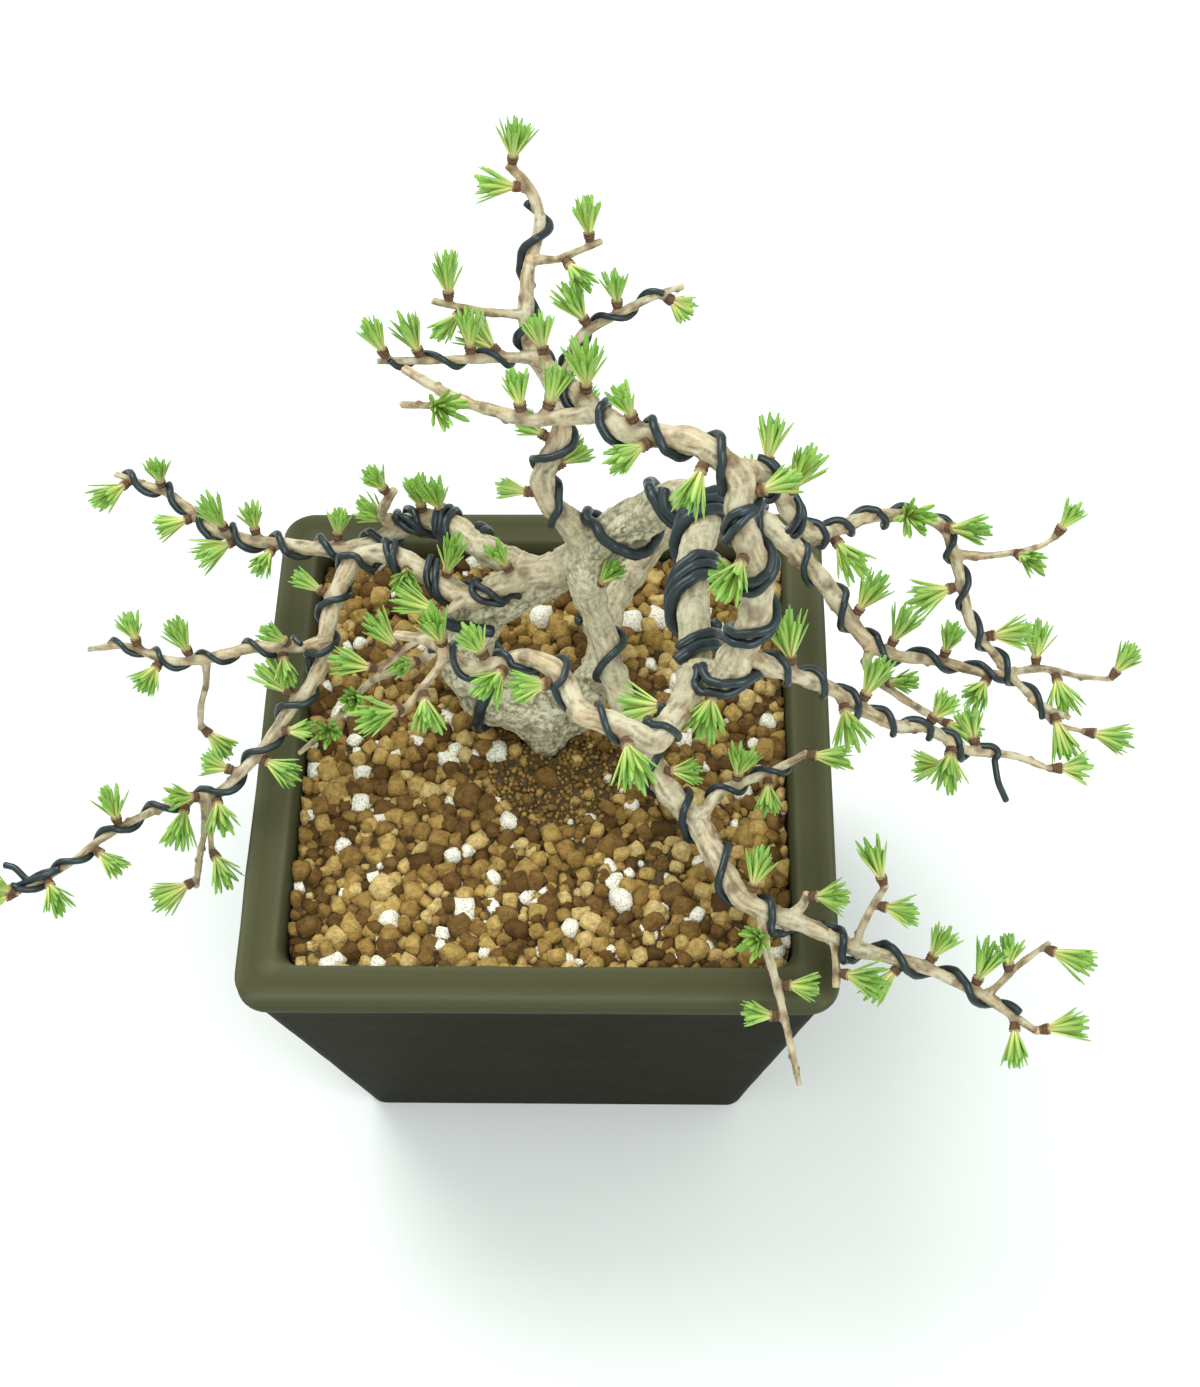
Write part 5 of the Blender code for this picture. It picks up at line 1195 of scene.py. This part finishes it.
def grain_tree():
    """Strews rough grains over a surface, no two nearer than their spacing."""
    tree, given, out = geometry_tree("Grains", [
        ("Size", "Float"), ("Spacing", "Float"), ("Rise", "Float"), ("Rough", "Float"), ("Seed", "Int"),
        ("Corners", "Int"), ("Tone Low", "Float"), ("Tone High", "Float"), ("Material", "Material")])
    cube = add_node(tree, "GeometryNodeMeshCube", None, {
        "Size": (1, 1, 1), **{"Vertices " + axis: given["Corners"] for axis in "XYZ"}})
    spot = tree.nodes.new("GeometryNodeInputPosition").outputs[0]
    ball = vectors(tree, "SCALE", vectors(tree, "NORMALIZE", spot), 0.28)
    rounded = vectors(tree, "ADD", ball, vectors(tree, "SCALE", spot, 0.42))
    pebble = add_node(tree, "GeometryNodeSetPosition", None, {
        "Geometry": cube.outputs["Mesh"], "Position": rounded})
    strewn = add_node(tree, "GeometryNodeDistributePointsOnFaces", {"distribute_method": "POISSON"}, {
        "Mesh": given["Geometry"], "Distance Min": given["Spacing"], "Density Max": MOST_GRAINS,
        "Seed": given["Seed"]})
    kept = add_node(tree, "GeometryNodeSeparateGeometry", {"domain": "POINT"}, {
        "Geometry": strewn.outputs["Points"],
        "Selection": maths(tree, "LESS_THAN", drawn(tree, 0.0, 1.0, 21), named(tree, "grit"))})
    lift = add_node(tree, "ShaderNodeCombineXYZ", None, {
        "Z": maths(tree, "MULTIPLY", given["Rise"], drawn(tree, -0.2, 1.0, 4))})
    raised = add_node(tree, "GeometryNodeSetPosition", None, {
        "Geometry": kept.outputs["Selection"], "Offset": lift.outputs[0]})
    turned = add_node(tree, "FunctionNodeEulerToRotation", None, {
        0: drawn(tree, (0, 0, 0), (6.28, 6.28, 6.28), 6, "FLOAT_VECTOR")})
    shape = drawn(tree, (0.8, 0.66, 0.6), (1.2, 1.05, 0.95), 8, "FLOAT_VECTOR")
    big = maths(tree, "POWER", drawn(tree, 0.0, 1.0, 12), 2.0)
    big = maths(tree, "ADD", maths(tree, "MULTIPLY", big, 0.6), 0.78)
    size = vectors(tree, "SCALE", vectors(tree, "SCALE", shape, given["Size"]), big)
    placed = instances(tree, raised.outputs[0], pebble.outputs[0], turned.outputs[0], size)
    tone = drawn(tree, given["Tone Low"], given["Tone High"], 15)
    grains = realized(tree, stored(tree, placed, "tone", tone, "INSTANCE"))
    rough = add_node(tree, "ShaderNodeTexNoise", None, {"Vector": spot, "Scale": 240.0, "Detail": 3.0})
    shift = vectors(tree, "SUBTRACT", rough.outputs["Color"], (0.5, 0.5, 0.5))
    worn = add_node(tree, "GeometryNodeSetPosition", None, {
        "Geometry": grains, "Offset": vectors(tree, "SCALE", shift, given["Rough"])})
    return give_out(tree, worn.outputs[0], given, out)


def share_up(height):
    return (height - POT_FLOOR) / (POT_HEIGHT - POT_FLOOR)


def inner_half(height):
    """Half the width of the pot's inside at a height, in mm."""
    return INNER_FLOOR_HALF + (RIM_HALF - LIP_WIDTH - INNER_FLOOR_HALF) * share_up(height)


def inner_corner(height):
    return BASE_CORNER + (RIM_CORNER - 2 - BASE_CORNER) * share_up(height)


def rounded_square(half, corner, height):
    """A level square loop with rounded corners and points along its sides."""
    arcs = []
    for quarter, (sx, sy) in enumerate(((1, 1), (-1, 1), (-1, -1), (1, -1))):
        angles = [math.pi / 2 * (quarter + step / CORNER_STEPS) for step in range(CORNER_STEPS + 1)]
        arcs.append([(sx * (half - corner) + corner * math.cos(a),
                      sy * (half - corner) + corner * math.sin(a), height) for a in angles])
    points = []
    for arc, following in zip(arcs, arcs[1:] + arcs[:1]):
        start, end = Vector(arc[-1]), Vector(following[0])
        points += arc
        points += [tuple(start.lerp(end, k / SIDE_STEPS)) for k in range(1, SIDE_STEPS)]
    return points


def pot_profile():
    """The pot's rings as (half width, corner radius, height): up the wall, over the lip, down the inside."""
    wall_top = POT_HEIGHT - LIP_DROP
    under_lip = RIM_HALF - LIP_PROUD
    into, down = LIP_ROUND
    rings = []
    for k in range(5):
        a = math.pi / 2 * k / 4
        rings.append((BASE_HALF - FOOT_ROUND * (1 - math.sin(a)), BASE_CORNER,
                      FOOT_ROUND * (1 - math.cos(a))))
    for k in range(1, 13):
        t = k / 12
        rings.append((BASE_HALF + (under_lip - 0.4 - BASE_HALF) * t,
                      BASE_CORNER + (RIM_CORNER - 1 - BASE_CORNER) * t, FOOT_ROUND + (wall_top - 2.4) * t))
    rings += [(under_lip - 0.1, RIM_CORNER, wall_top - 0.7), (RIM_HALF - 0.8, RIM_CORNER, wall_top - 0.1),
              (RIM_HALF - 0.2, RIM_CORNER, wall_top + 0.6), (RIM_HALF, RIM_CORNER, wall_top + 1.6),
              (RIM_HALF, RIM_CORNER, wall_top + 3.5), (RIM_HALF, RIM_CORNER, POT_HEIGHT - down)]
    for k in range(1, 5):
        a = math.pi / 2 * k / 4
        rings.append((RIM_HALF - into * (1 - math.cos(a)), RIM_CORNER,
                      POT_HEIGHT - down + down * math.sin(a)))
    rings.append((RIM_HALF - 4.5, RIM_CORNER - 1, POT_HEIGHT - 0.05))
    for out, drop in ((2.2, 0.1), (0.8, 0.6), (0.1, 1.6)):
        rings.append((RIM_HALF - LIP_WIDTH + out, RIM_CORNER - 2, POT_HEIGHT - drop))
    for z in (POT_HEIGHT - 4, POT_HEIGHT - 8, 85, 60, 35, POT_FLOOR + 2, POT_FLOOR):
        rings.append((inner_half(z), inner_corner(z), z))
    return rings


def pot_shape():
    loops = [rounded_square(*ring) for ring in pot_profile()]
    count = len(loops[0])
    points = [p for loop in loops for p in loop]
    ends = [tuple(reversed(range(count))), tuple(range(len(points) - count, len(points)))]
    return points, ends + wall_faces(len(loops), count)


def worn_and_highlit_edges(spots):
    """How near each vertex is to an arris coloured paler: partly glaze worn thin, partly a painted highlight.
    """
    reach = np.abs(spots[:, :2]).max(1)
    arris = np.exp(-np.abs(reach - RIM_HALF + 1.2) / 1.2) * (spots[:, 2] > POT_HEIGHT - 3)
    # Painted highlight line along the lip's lower edge
    under = np.exp(-np.abs(spots[:, 2] - (POT_HEIGHT - LIP_DROP + 0.7)) / 0.7) * (reach > RIM_HALF - 1.5)
    mouth = np.exp(-np.abs(reach - (RIM_HALF - LIP_WIDTH + 1)) / 0.9) * (spots[:, 2] > POT_HEIGHT - 2)
    return np.clip(arris * 0.8 + under + mouth, 0, 1)


def drum(x, radius, low, high, sides):
    angles = [2 * math.pi * k / sides for k in range(sides)]
    points = [(x + radius * math.cos(a), radius * math.sin(a), z) for z in (low, high) for a in angles]
    ends = [tuple(reversed(range(sides))), tuple(range(sides, 2 * sides))]
    return points, ends + wall_faces(2, sides)


def finish_node(node, finish):
    """Gives a node that stays its own finish."""
    obj = frame["nodes"][node]
    for slot in obj.material_slots:
        slot.material = finish
    if not obj.material_slots:
        obj.data.materials.append(finish)


def soil_surface(name, kind):
    """The soil node's top as a mesh to strew grains on; kind 2 is the crumb near the trunk's foot."""
    copy = frame["nodes"]["soil"].data.copy()
    work = bmesh.new()
    work.from_mesh(copy)
    bmesh.ops.remove_doubles(work, verts=work.verts, dist=1e-6)
    low = [f for f in work.faces if f.normal.z < 0.3 or f.calc_center_median().z < 0.1]
    bmesh.ops.delete(work, geom=low, context="FACES")
    bmesh.ops.subdivide_edges(work, edges=work.edges, cuts=2, use_grid_fill=True)
    work.to_mesh(copy)
    work.free()
    copy.materials.clear()
    obj = bpy.data.objects.new(name, copy)
    bpy.context.scene.collection.objects.link(obj)
    spots = vertex_array(copy) / MM
    off = np.linalg.norm((spots[:, :2] - CRUMB_CENTRE) / CRUMB_REACH, axis=1)
    near = np.clip((1.15 - off) / 0.3, 0, 1)
    weight = {0: 1 - near * 0.96, 1: 1 - near * 0.75, 2: np.clip((1.5 - off) / 0.5, 0, 1)}[kind]
    store(copy, "grit", weight)
    return obj


def keep_in_pot(obj):
    """Holds the grains inside the pot's walls."""
    spots = vertex_array(obj.data) / MM
    most = np.array([inner_half(z) for z in spots[:, 2]]) - 0.15
    spots[:, :2] = np.clip(spots[:, :2], -most[:, None], most[:, None])
    move(obj.data, spots)


def keep_in_box(obj):
    """Bends back the needle tips that would reach past the model's own box."""
    spots = vertex_array(obj.data)
    low, high = np.array(CAD_BOX[0]), np.array(CAD_BOX[1])
    obj.data.vertices.foreach_set("co", np.clip(spots, low, high).ravel())
    obj.data.update()


def surface_of(objects):
    """A search tree over the objects' faces, in mm."""
    points, faces = [], []
    for obj in objects:
        base = len(points)
        points += [Vector(p) for p in vertex_array(obj.data) / MM]
        faces += [tuple(base + v for v in f.vertices) for f in obj.data.polygons]
    return BVHTree.FromPolygons(points, faces)


def drawn_in(points, radius, bark):
    """The wire's points moved to lie on the bark, where it is near enough, and smoothed between."""
    points = points.copy()
    for turn in range(WIRE_TURNS):
        for i, point in enumerate(points):
            near, normal, _, distance = bark.find_nearest(Vector(point))
            out = Vector(point) - near
            if out.dot(normal) < 0:
                points[i] = point + np.array(normal) * (radius + distance)
            elif distance < radius:
                points[i] = point + np.array(out) / max(distance, 1e-6) * (radius - distance)
            elif distance < radius + WIRE_REACH and turn < WIRE_TURNS - 1:
                points[i] = point + np.array(out) / distance * (radius - distance) * 0.7
        if turn < WIRE_TURNS - 1:
            points[1:-1] = points[1:-1] * 0.5 + (points[:-2] + points[2:]) * 0.25
    return points


def wire_shape(path, sides):
    """A round wire along the path, with cut ends."""
    ends = []
    for end, after in ((path[0], path[1]), (path[-1], path[-2])):
        run = end[:3] - after[:3]
        run /= np.linalg.norm(run)
        tip = end.copy()
        tip[:3] += run * end[3] * CUT_BEVEL
        tip[3] *= 0.84
        ends.append(tip)
    return tube(np.vstack([ends[0][None], path, ends[1][None]]), sides)


def slid(path, stem_path, shift):
    """The wire's path moved along its stem, to lie beside the first strand."""
    _, side, up = frames(stem_path)
    along = arc_lengths(stem_path)
    out = path.copy()
    for i, point in enumerate(path):
        near = int(np.linalg.norm(stem_path[:, :3] - point[:3], axis=1).argmin())
        off = point[:3] - stem_path[near, :3]
        then = min(int(np.searchsorted(along, along[near] + shift)), len(along) - 1)
        out[i, :3] = stem_path[then, :3] + side[then] * off.dot(side[near]) + up[then] * off.dot(up[near])
    return out


def tuft_points(name, lead):
    """One point for each tuft, with its direction and how far its spur reaches; lead sinks it in the stem."""
    _, tufts = tree_plan()
    draw = np.random.default_rng(17)
    points, ways, reach, sprout, opening = [], [], [], [], []
    for _, root, way, length in tufts:
        top = root[3] + SPUR_LENGTH + SPUR_PROUD
        start = root[3] * lead if lead else top
        points.append(root[:3] + np.array(way) * (start if lead else top - NEEDLE_SINK))
        ways.append(way)
        reach.append((top - start) * MM)
        sprout.append(length / NEEDLE_LENGTH)
        opening.append(draw.uniform(0.65, 1.15))
    obj = mesh_object(name, points, [])
    for label, values in (("way", ways), ("reach", reach), ("sprout", sprout), ("opening", opening)):
        store(obj.data, label, np.array(values))
    return obj


def floor_shape():
    """A broad pale floor that rises far behind the object."""
    points = [(x / MM, y / MM, z / MM) for y, z in FLOOR_STEPS for x in (-FLOOR_HALF, FLOOR_HALF)]
    return points, [(2 * i, 2 * i + 1, 2 * i + 3, 2 * i + 2) for i in range(len(FLOOR_STEPS) - 1)]


def floor_finish(settings):
    made, tree, shader = fresh_material("pale_floor")
    coated(tree, shader, (*settings.floor_colour, 1), 0.6)
    return made


def fitted_camera():
    """The camera at the photograph's height, tilt and lens."""
    pitch, yaw, roll = (math.radians(a) for a in CAMERA_TURN)
    right = np.array((1.0, 0, 0))
    down = np.array((0, -math.sin(pitch), -math.cos(pitch)))
    ahead = np.array((0, math.cos(pitch), -math.sin(pitch)))
    spin = np.array(((math.cos(yaw), -math.sin(yaw), 0), (math.sin(yaw), math.cos(yaw), 0), (0, 0, 1)))
    right, down, ahead = (spin @ v for v in (right, down, ahead))
    x = math.cos(roll) * right + math.sin(roll) * down
    y = math.sin(roll) * right - math.cos(roll) * down
    data = bpy.data.cameras.new("camera")
    data.sensor_width = 36.0
    data.lens = CAMERA_LENS
    camera = bpy.data.objects.new("camera", data)
    rows = [[x[i], y[i], -ahead[i], CAMERA_PLACE[i] * MM] for i in range(3)]
    camera.matrix_world = Matrix(rows + [[0, 0, 0, 1]])
    bpy.context.scene.collection.objects.link(camera)
    return camera


def length_prop(name, description, default, low=0.0):
    return bpy.props.FloatProperty(name=name, description=description, default=default, min=low,
                                   subtype="DISTANCE", unit="LENGTH", precision=5)


def colour_prop(name, description, default):
    return bpy.props.FloatVectorProperty(name=name, description=description, default=default, size=3,
                                         subtype="COLOR", min=0.0, max=1.0)


class BonsaiPotSettings(bpy.types.PropertyGroup):
    colour: colour_prop("Glaze", "Colour of the satin glaze", (0.0135, 0.0145, 0.0065))
    # The lip colour is a lighter copy of the glaze, painted light from above
    lit_lip_colour: colour_prop("Lip", "Colour of the thinner glaze on the lip", (0.062, 0.063, 0.03))
    unevenness: length_prop("Unevenness", "How far the walls wander from flat", 0.0003)


class BonsaiSoilSettings(bpy.types.PropertyGroup):
    grain_size: length_prop("Grain size", "Mean width of the coarse grains", 0.0053, 0.001)
    grain_spacing: length_prop("Grain spacing", "Least distance between coarse grains", 0.0036, 0.001)
    fine_size: length_prop("Fine grain size", "Mean width of the grains between them", 0.0032, 0.0005)
    fine_spacing: length_prop("Fine spacing", "Least distance between fine grains", 0.0024, 0.0005)
    crumb_size: length_prop("Crumb size", "Mean width of the crumb round the foot", 0.0013, 0.0003)
    pumice_share: bpy.props.FloatProperty(
        name="Pumice", description="Share of the grains that are white pumice", default=0.09, min=0, max=1)
    seed: bpy.props.IntProperty(name="Seed", description="Seed of the strewing", default=7)


class BonsaiWoodSettings(bpy.types.PropertyGroup):
    old_colour: colour_prop("Old bark", "Main colour of the trunk's bark", (0.74, 0.72, 0.5))
    young_colour: colour_prop("Young bark", "Main colour of the twigs", (0.42, 0.32, 0.18))
    bud_colour: colour_prop("Bud scales", "Colour of spurs and leaf cushions", (0.16, 0.085, 0.042))


class BonsaiNeedleSettings(bpy.types.PropertyGroup):
    needles: bpy.props.IntProperty(name="Needles", description="Needles in each tuft", default=26, min=1)
    length: length_prop("Length", "Length of a needle", 0.0074, 0.001)
    width: length_prop("Width", "Width of a needle", 0.00128, 0.0001)
    spread: bpy.props.FloatProperty(
        name="Spread", description="How far the outer needles lean out", default=0.5, subtype="ANGLE")
    curl: bpy.props.FloatProperty(
        name="Curl", description="How far a needle bends out, as a share of its length", default=-0.04)
    foot_colour: colour_prop("Foot", "Colour at the needle's foot", (0.74, 0.75, 0.3))
    middle_colour: colour_prop("Middle", "Colour halfway up", (0.46, 0.64, 0.155))
    tip_colour: colour_prop("Tip", "Colour at the tip", (0.25, 0.47, 0.095))


class BonsaiWireSettings(bpy.types.PropertyGroup):
    colour: colour_prop("Wire", "Colour of the anodised wire", (0.040, 0.056, 0.062))
    bite: length_prop("Bite", "How far the wire presses into the bark", 0.0001)


class BonsaiStageSettings(bpy.types.PropertyGroup):
    floor_colour: colour_prop("Floor", "Colour of the floor", (0.83, 0.86, 0.84))
    key_power: bpy.props.FloatProperty(
        name="Key light", description="Power of the main light", default=11.0, unit="POWER")


class BONSAI_OT_pot(bpy.types.Operator):
    """Builds the glazed pot, its rolled lip and its drain holes"""
    bl_idname = "bonsai.pot"
    bl_label = "Pot"

    def execute(self, context):
        settings = context.scene.bonsai_pot
        obj = mesh_object("glazed_pot", *pot_shape(), glaze_finish(settings))
        drums = [drum(x, DRAIN_RADIUS, -1, POT_FLOOR + 1, 48) for x in (-DRAIN_X, DRAIN_X)]
        holes = [mesh_object("drain", *shape) for shape in drums]
        for hole in holes:
            cut = obj.modifiers.new("drain", "BOOLEAN")
            cut.operation = "DIFFERENCE"
            cut.object = hole
            cut.solver = "MANIFOLD"
        settle(obj)
        for hole in holes:
            bpy.data.objects.remove(hole, do_unlink=True)
        mesh = obj.data
        spots = vertex_array(mesh) / MM
        normals = vertex_array(mesh, True)
        wave = settings.unevenness / MM
        lift = np.array([noise.fractal(Vector(p) * 0.035, 0.9, 2.0, 3) for p in spots]) * wave
        lift[spots[:, 2] < 2] = 0
        move(mesh, spots - np.abs(lift)[:, None] * normals)
        # Paler arrises: partly glaze worn thin, partly a painted highlight
        store(mesh, "worn_and_highlit_edge", worn_and_highlit_edges(spots))
        # Where the lip band is painted lighter than the wall, as lit from above
        store(mesh, "lip", np.clip((spots[:, 2] - POT_HEIGHT + LIP_DROP) / 2, 0, 1))
        mesh.shade_smooth()
        mesh.set_sharp_from_angle(angle=math.radians(50))
        dressed(obj, "glaze", "pot")
        for node in ("screen_left", "screen_right"):
            finish_node(node, screen_finish())
        return {"FINISHED"}


class BONSAI_OT_soil(bpy.types.Operator):
    """Strews coarse grains, fine grains and crumb over the soil"""
    bl_idname = "bonsai.soil"
    bl_label = "Soil"

    def execute(self, context):
        settings = context.scene.bonsai_soil
        finish_node("soil", painted_shade_bed_finish())
        grit = grit_finish(settings)
        tree = grain_tree()
        # Name, size, spacing, lift, roughness, darkest and palest tone, kind
        layers = (
            ("coarse_grains", settings.grain_size, settings.grain_spacing, 0.0006, 0.0021, 0.0, 1.0, 0),
            ("fine_grains", settings.fine_size, settings.fine_spacing, -0.0002, 0.0014, 0.0, 1.0, 1),
            ("crumb", settings.crumb_size, settings.crumb_size * 0.72, 0.0009, 0.0004, 0.2, 0.62, 2),
        )
        for name, size, spacing, rise, rough, low, high, kind in layers:
            bed = soil_surface(name, kind)
            run_tree(bed, tree, {
                "Size": size, "Spacing": spacing, "Rise": rise, "Rough": rough, "Seed": settings.seed + kind,
                "Tone Low": low, "Tone High": high, "Corners": 4 if kind == 0 else 3, "Material": grit})
            keep_in_pot(bed)
            dressed(bed, "soil")
        return {"FINISHED"}


class BONSAI_OT_trunk(bpy.types.Operator):
    """Grows the trunk, its old foot and the stumps of its branches in one skin of cracked bark"""
    bl_idname = "bonsai.trunk"
    bl_label = "Trunk"

    def execute(self, context):
        bark = bark_finish(context.scene.bonsai_wood)
        wood = Wood()
        wood.stem(smooth_route(TRUNK, FINE_STEP), TRUNK_SIDES)
        for lobe in (FOOT_LOBE, SHOULDER):
            wood.stem(smooth_route(lobe, FINE_STEP), LOBE_SIDES)
        for name in BRANCHES:
            if name not in ("branch_right_middle", "branch_right_top"):
                path = smooth_route(BRANCHES[name][0]["route"], FINE_STEP)
                wood.stem(flared(path, 0.3, 4)[:int(STUMP_LENGTH / FINE_STEP)])
        obj = wood.skin("wood_trunk", TRUNK_VOXEL, bark)
        barked(obj, wood, KNOTS)
        dressed(obj, "bark", "trunk")
        return {"FINISHED"}


class BONSAI_OT_branches(bpy.types.Operator):
    """Grows each branch with its twigs, leaf cushions and young bark"""
    bl_idname = "bonsai.branches"
    bl_label = "Branches"

    def execute(self, context):
        bark = bpy.data.materials["larch_bark"]
        _, tufts = tree_plan()
        for number, (name, stems) in enumerate(BRANCHES.items()):
            wood = Wood()
            roots = [root[:3] for node, root, _, _ in tufts if node == name]
            for k, one in enumerate(stems):
                path = smooth_route(one["route"], FINE_STEP)
                path = stem_ripple(flared(path, 0.3 if k == 0 else 0.5, 4 if k == 0 else 2), number * 40 + k)
                wood.stem(path)
                twig_knobs(wood, path, number * 90 + k, roots)
            for node, root, way, _ in tufts:
                if node == name:
                    wood.knob(root[:3] + np.array(way) * root[3] * 0.8, min(1.5, root[3] * 0.5 + 0.75))
            obj = wood.skin("wood_" + name, BRANCH_VOXEL, bark)
            barked(obj, wood)
            dressed(obj, "bark", name)
        return {"FINISHED"}


class BONSAI_OT_wires(bpy.types.Operator):
    """Winds each training wire tight round its stem"""
    bl_idname = "bonsai.wires"
    bl_label = "Wires"

    def execute(self, context):
        settings = context.scene.bonsai_wire
        finish = wire_finish(settings)
        wires, _ = tree_plan()
        bark = surface_of([o for o in bpy.data.objects if o.name.startswith("wood_")])
        lengths = [("wound_" + name, name, 0.0, 0.0, 1.0) for name in wires]
        lengths += [(f"strand_{k}_{row[0]}", *row) for k, row in enumerate(STRANDS)]
        for name, wire, shift, first, last in lengths:
            radius = wires[wire][0, 3]
            path = smooth_route(wires[wire], WIRE_STEP)
            path = path[int(first * len(path)):int(last * len(path))]
            if shift:
                host, number = WIRES[wire][:2]
                route = TRUNK if host == "trunk" else BRANCHES[host][number]["route"]
                path = slid(path, smooth_route(route, FINE_STEP), shift)
            path[:, :3] = drawn_in(path[:, :3], radius - settings.bite / MM, bark)
            obj = mesh_object(name, *wire_shape(path, 12 if radius > THICK_WIRE else 9), finish)
            obj.data.shade_smooth()
            obj.data.set_sharp_from_angle(angle=math.radians(55))
            dressed(obj, "wire", *([] if shift else [wire]))
        return {"FINISHED"}


class BONSAI_OT_spurs(bpy.types.Operator):
    """Stands a ringed short shoot under each tuft"""
    bl_idname = "bonsai.spurs"
    bl_label = "Spurs"

    def execute(self, context):
        finish = spur_finish(context.scene.bonsai_wood)
        obj = tuft_points("short_shoots", 0.35)
        run_tree(obj, spur_tree(), {"Radius": SPUR_RADIUS * MM * 1.05, "Rings": 30.0, "Material": finish})
        dressed(obj, "foliage")
        return {"FINISHED"}


class BONSAI_OT_needles(bpy.types.Operator):
    """Fans the spring needles out of each short shoot"""
    bl_idname = "bonsai.needles"
    bl_label = "Needles"

    def execute(self, context):
        settings = context.scene.bonsai_needle
        obj = tuft_points("needles", None)
        run_tree(obj, needle_tree(), {
            "Needles": settings.needles, "Length": settings.length, "Width": settings.width,
            "Spread": settings.spread, "Curl": settings.curl, "Seed": 5,
            "Material": needle_finish(settings)})
        keep_in_box(obj)
        dressed(obj, "foliage")
        return {"FINISHED"}


class BONSAI_OT_stage(bpy.types.Operator):
    """Sets the pale floor, the soft light and the camera"""
    bl_idname = "bonsai.stage"
    bl_label = "Stage"

    def execute(self, context):
        settings = context.scene.bonsai_stage
        floor = mesh_object("floor", *floor_shape(), floor_finish(settings))
        floor.data.shade_smooth()
        world = bpy.data.worlds.new("soft_room")
        world.use_nodes = True
        room_light = world.node_tree.nodes["Background"].inputs
        room_light["Color"].default_value = ROOM_COLOUR
        room_light["Strength"].default_value = ROOM_STRENGTH
        context.scene.world = world
        for name, spot, size, share in LAMPS:
            light = bpy.data.lights.new(name, "AREA")
            light.shape = "DISK"
            light.size = size
            light.energy = settings.key_power * share
            lamp = bpy.data.objects.new(name, light)
            lamp.location = spot
            lamp.rotation_euler = (Vector(LAMP_AIM) - Vector(spot)).to_track_quat("-Z", "Y").to_euler()
            context.scene.collection.objects.link(lamp)
        context.scene.camera = fitted_camera()
        context.scene.view_settings.view_transform = "Standard"
        return {"FINISHED"}


class BONSAI_PT_panel(bpy.types.Panel):
    """Lists the pieces of the bonsai in the order they are made"""
    bl_idname = "BONSAI_PT_panel"
    bl_label = "Larch Bonsai"
    bl_space_type = "VIEW_3D"
    bl_region_type = "UI"
    bl_category = "Bonsai"

    def draw(self, context):
        for operator in OPERATORS:
            self.layout.operator(operator.bl_idname)
        for group in SETTINGS:
            settings = getattr(context.scene, group)
            box = self.layout.box()
            for name in settings.__annotations__:
                box.prop(settings, name)


OPERATORS = (
    BONSAI_OT_pot, BONSAI_OT_soil, BONSAI_OT_trunk, BONSAI_OT_branches, BONSAI_OT_wires, BONSAI_OT_spurs,
    BONSAI_OT_needles, BONSAI_OT_stage,
)
SETTINGS = {
    "bonsai_pot": BonsaiPotSettings,
    "bonsai_soil": BonsaiSoilSettings,
    "bonsai_wood": BonsaiWoodSettings,
    "bonsai_needle": BonsaiNeedleSettings,
    "bonsai_wire": BonsaiWireSettings,
    "bonsai_stage": BonsaiStageSettings,
}


def register():
    for name, group in SETTINGS.items():
        bpy.utils.register_class(group)
        setattr(bpy.types.Scene, name, bpy.props.PointerProperty(type=group))
    for kind in (*OPERATORS, BONSAI_PT_panel):
        bpy.utils.register_class(kind)


def unregister():
    for kind in (BONSAI_PT_panel, *reversed(OPERATORS)):
        bpy.utils.unregister_class(kind)
    for name, group in SETTINGS.items():
        delattr(bpy.types.Scene, name)
        bpy.utils.unregister_class(group)


def main():
    register()
    for operator in OPERATORS:
        group, name = operator.bl_idname.split(".")
        getattr(getattr(bpy.ops, group), name)()


if __name__ == "__main__":
    main()
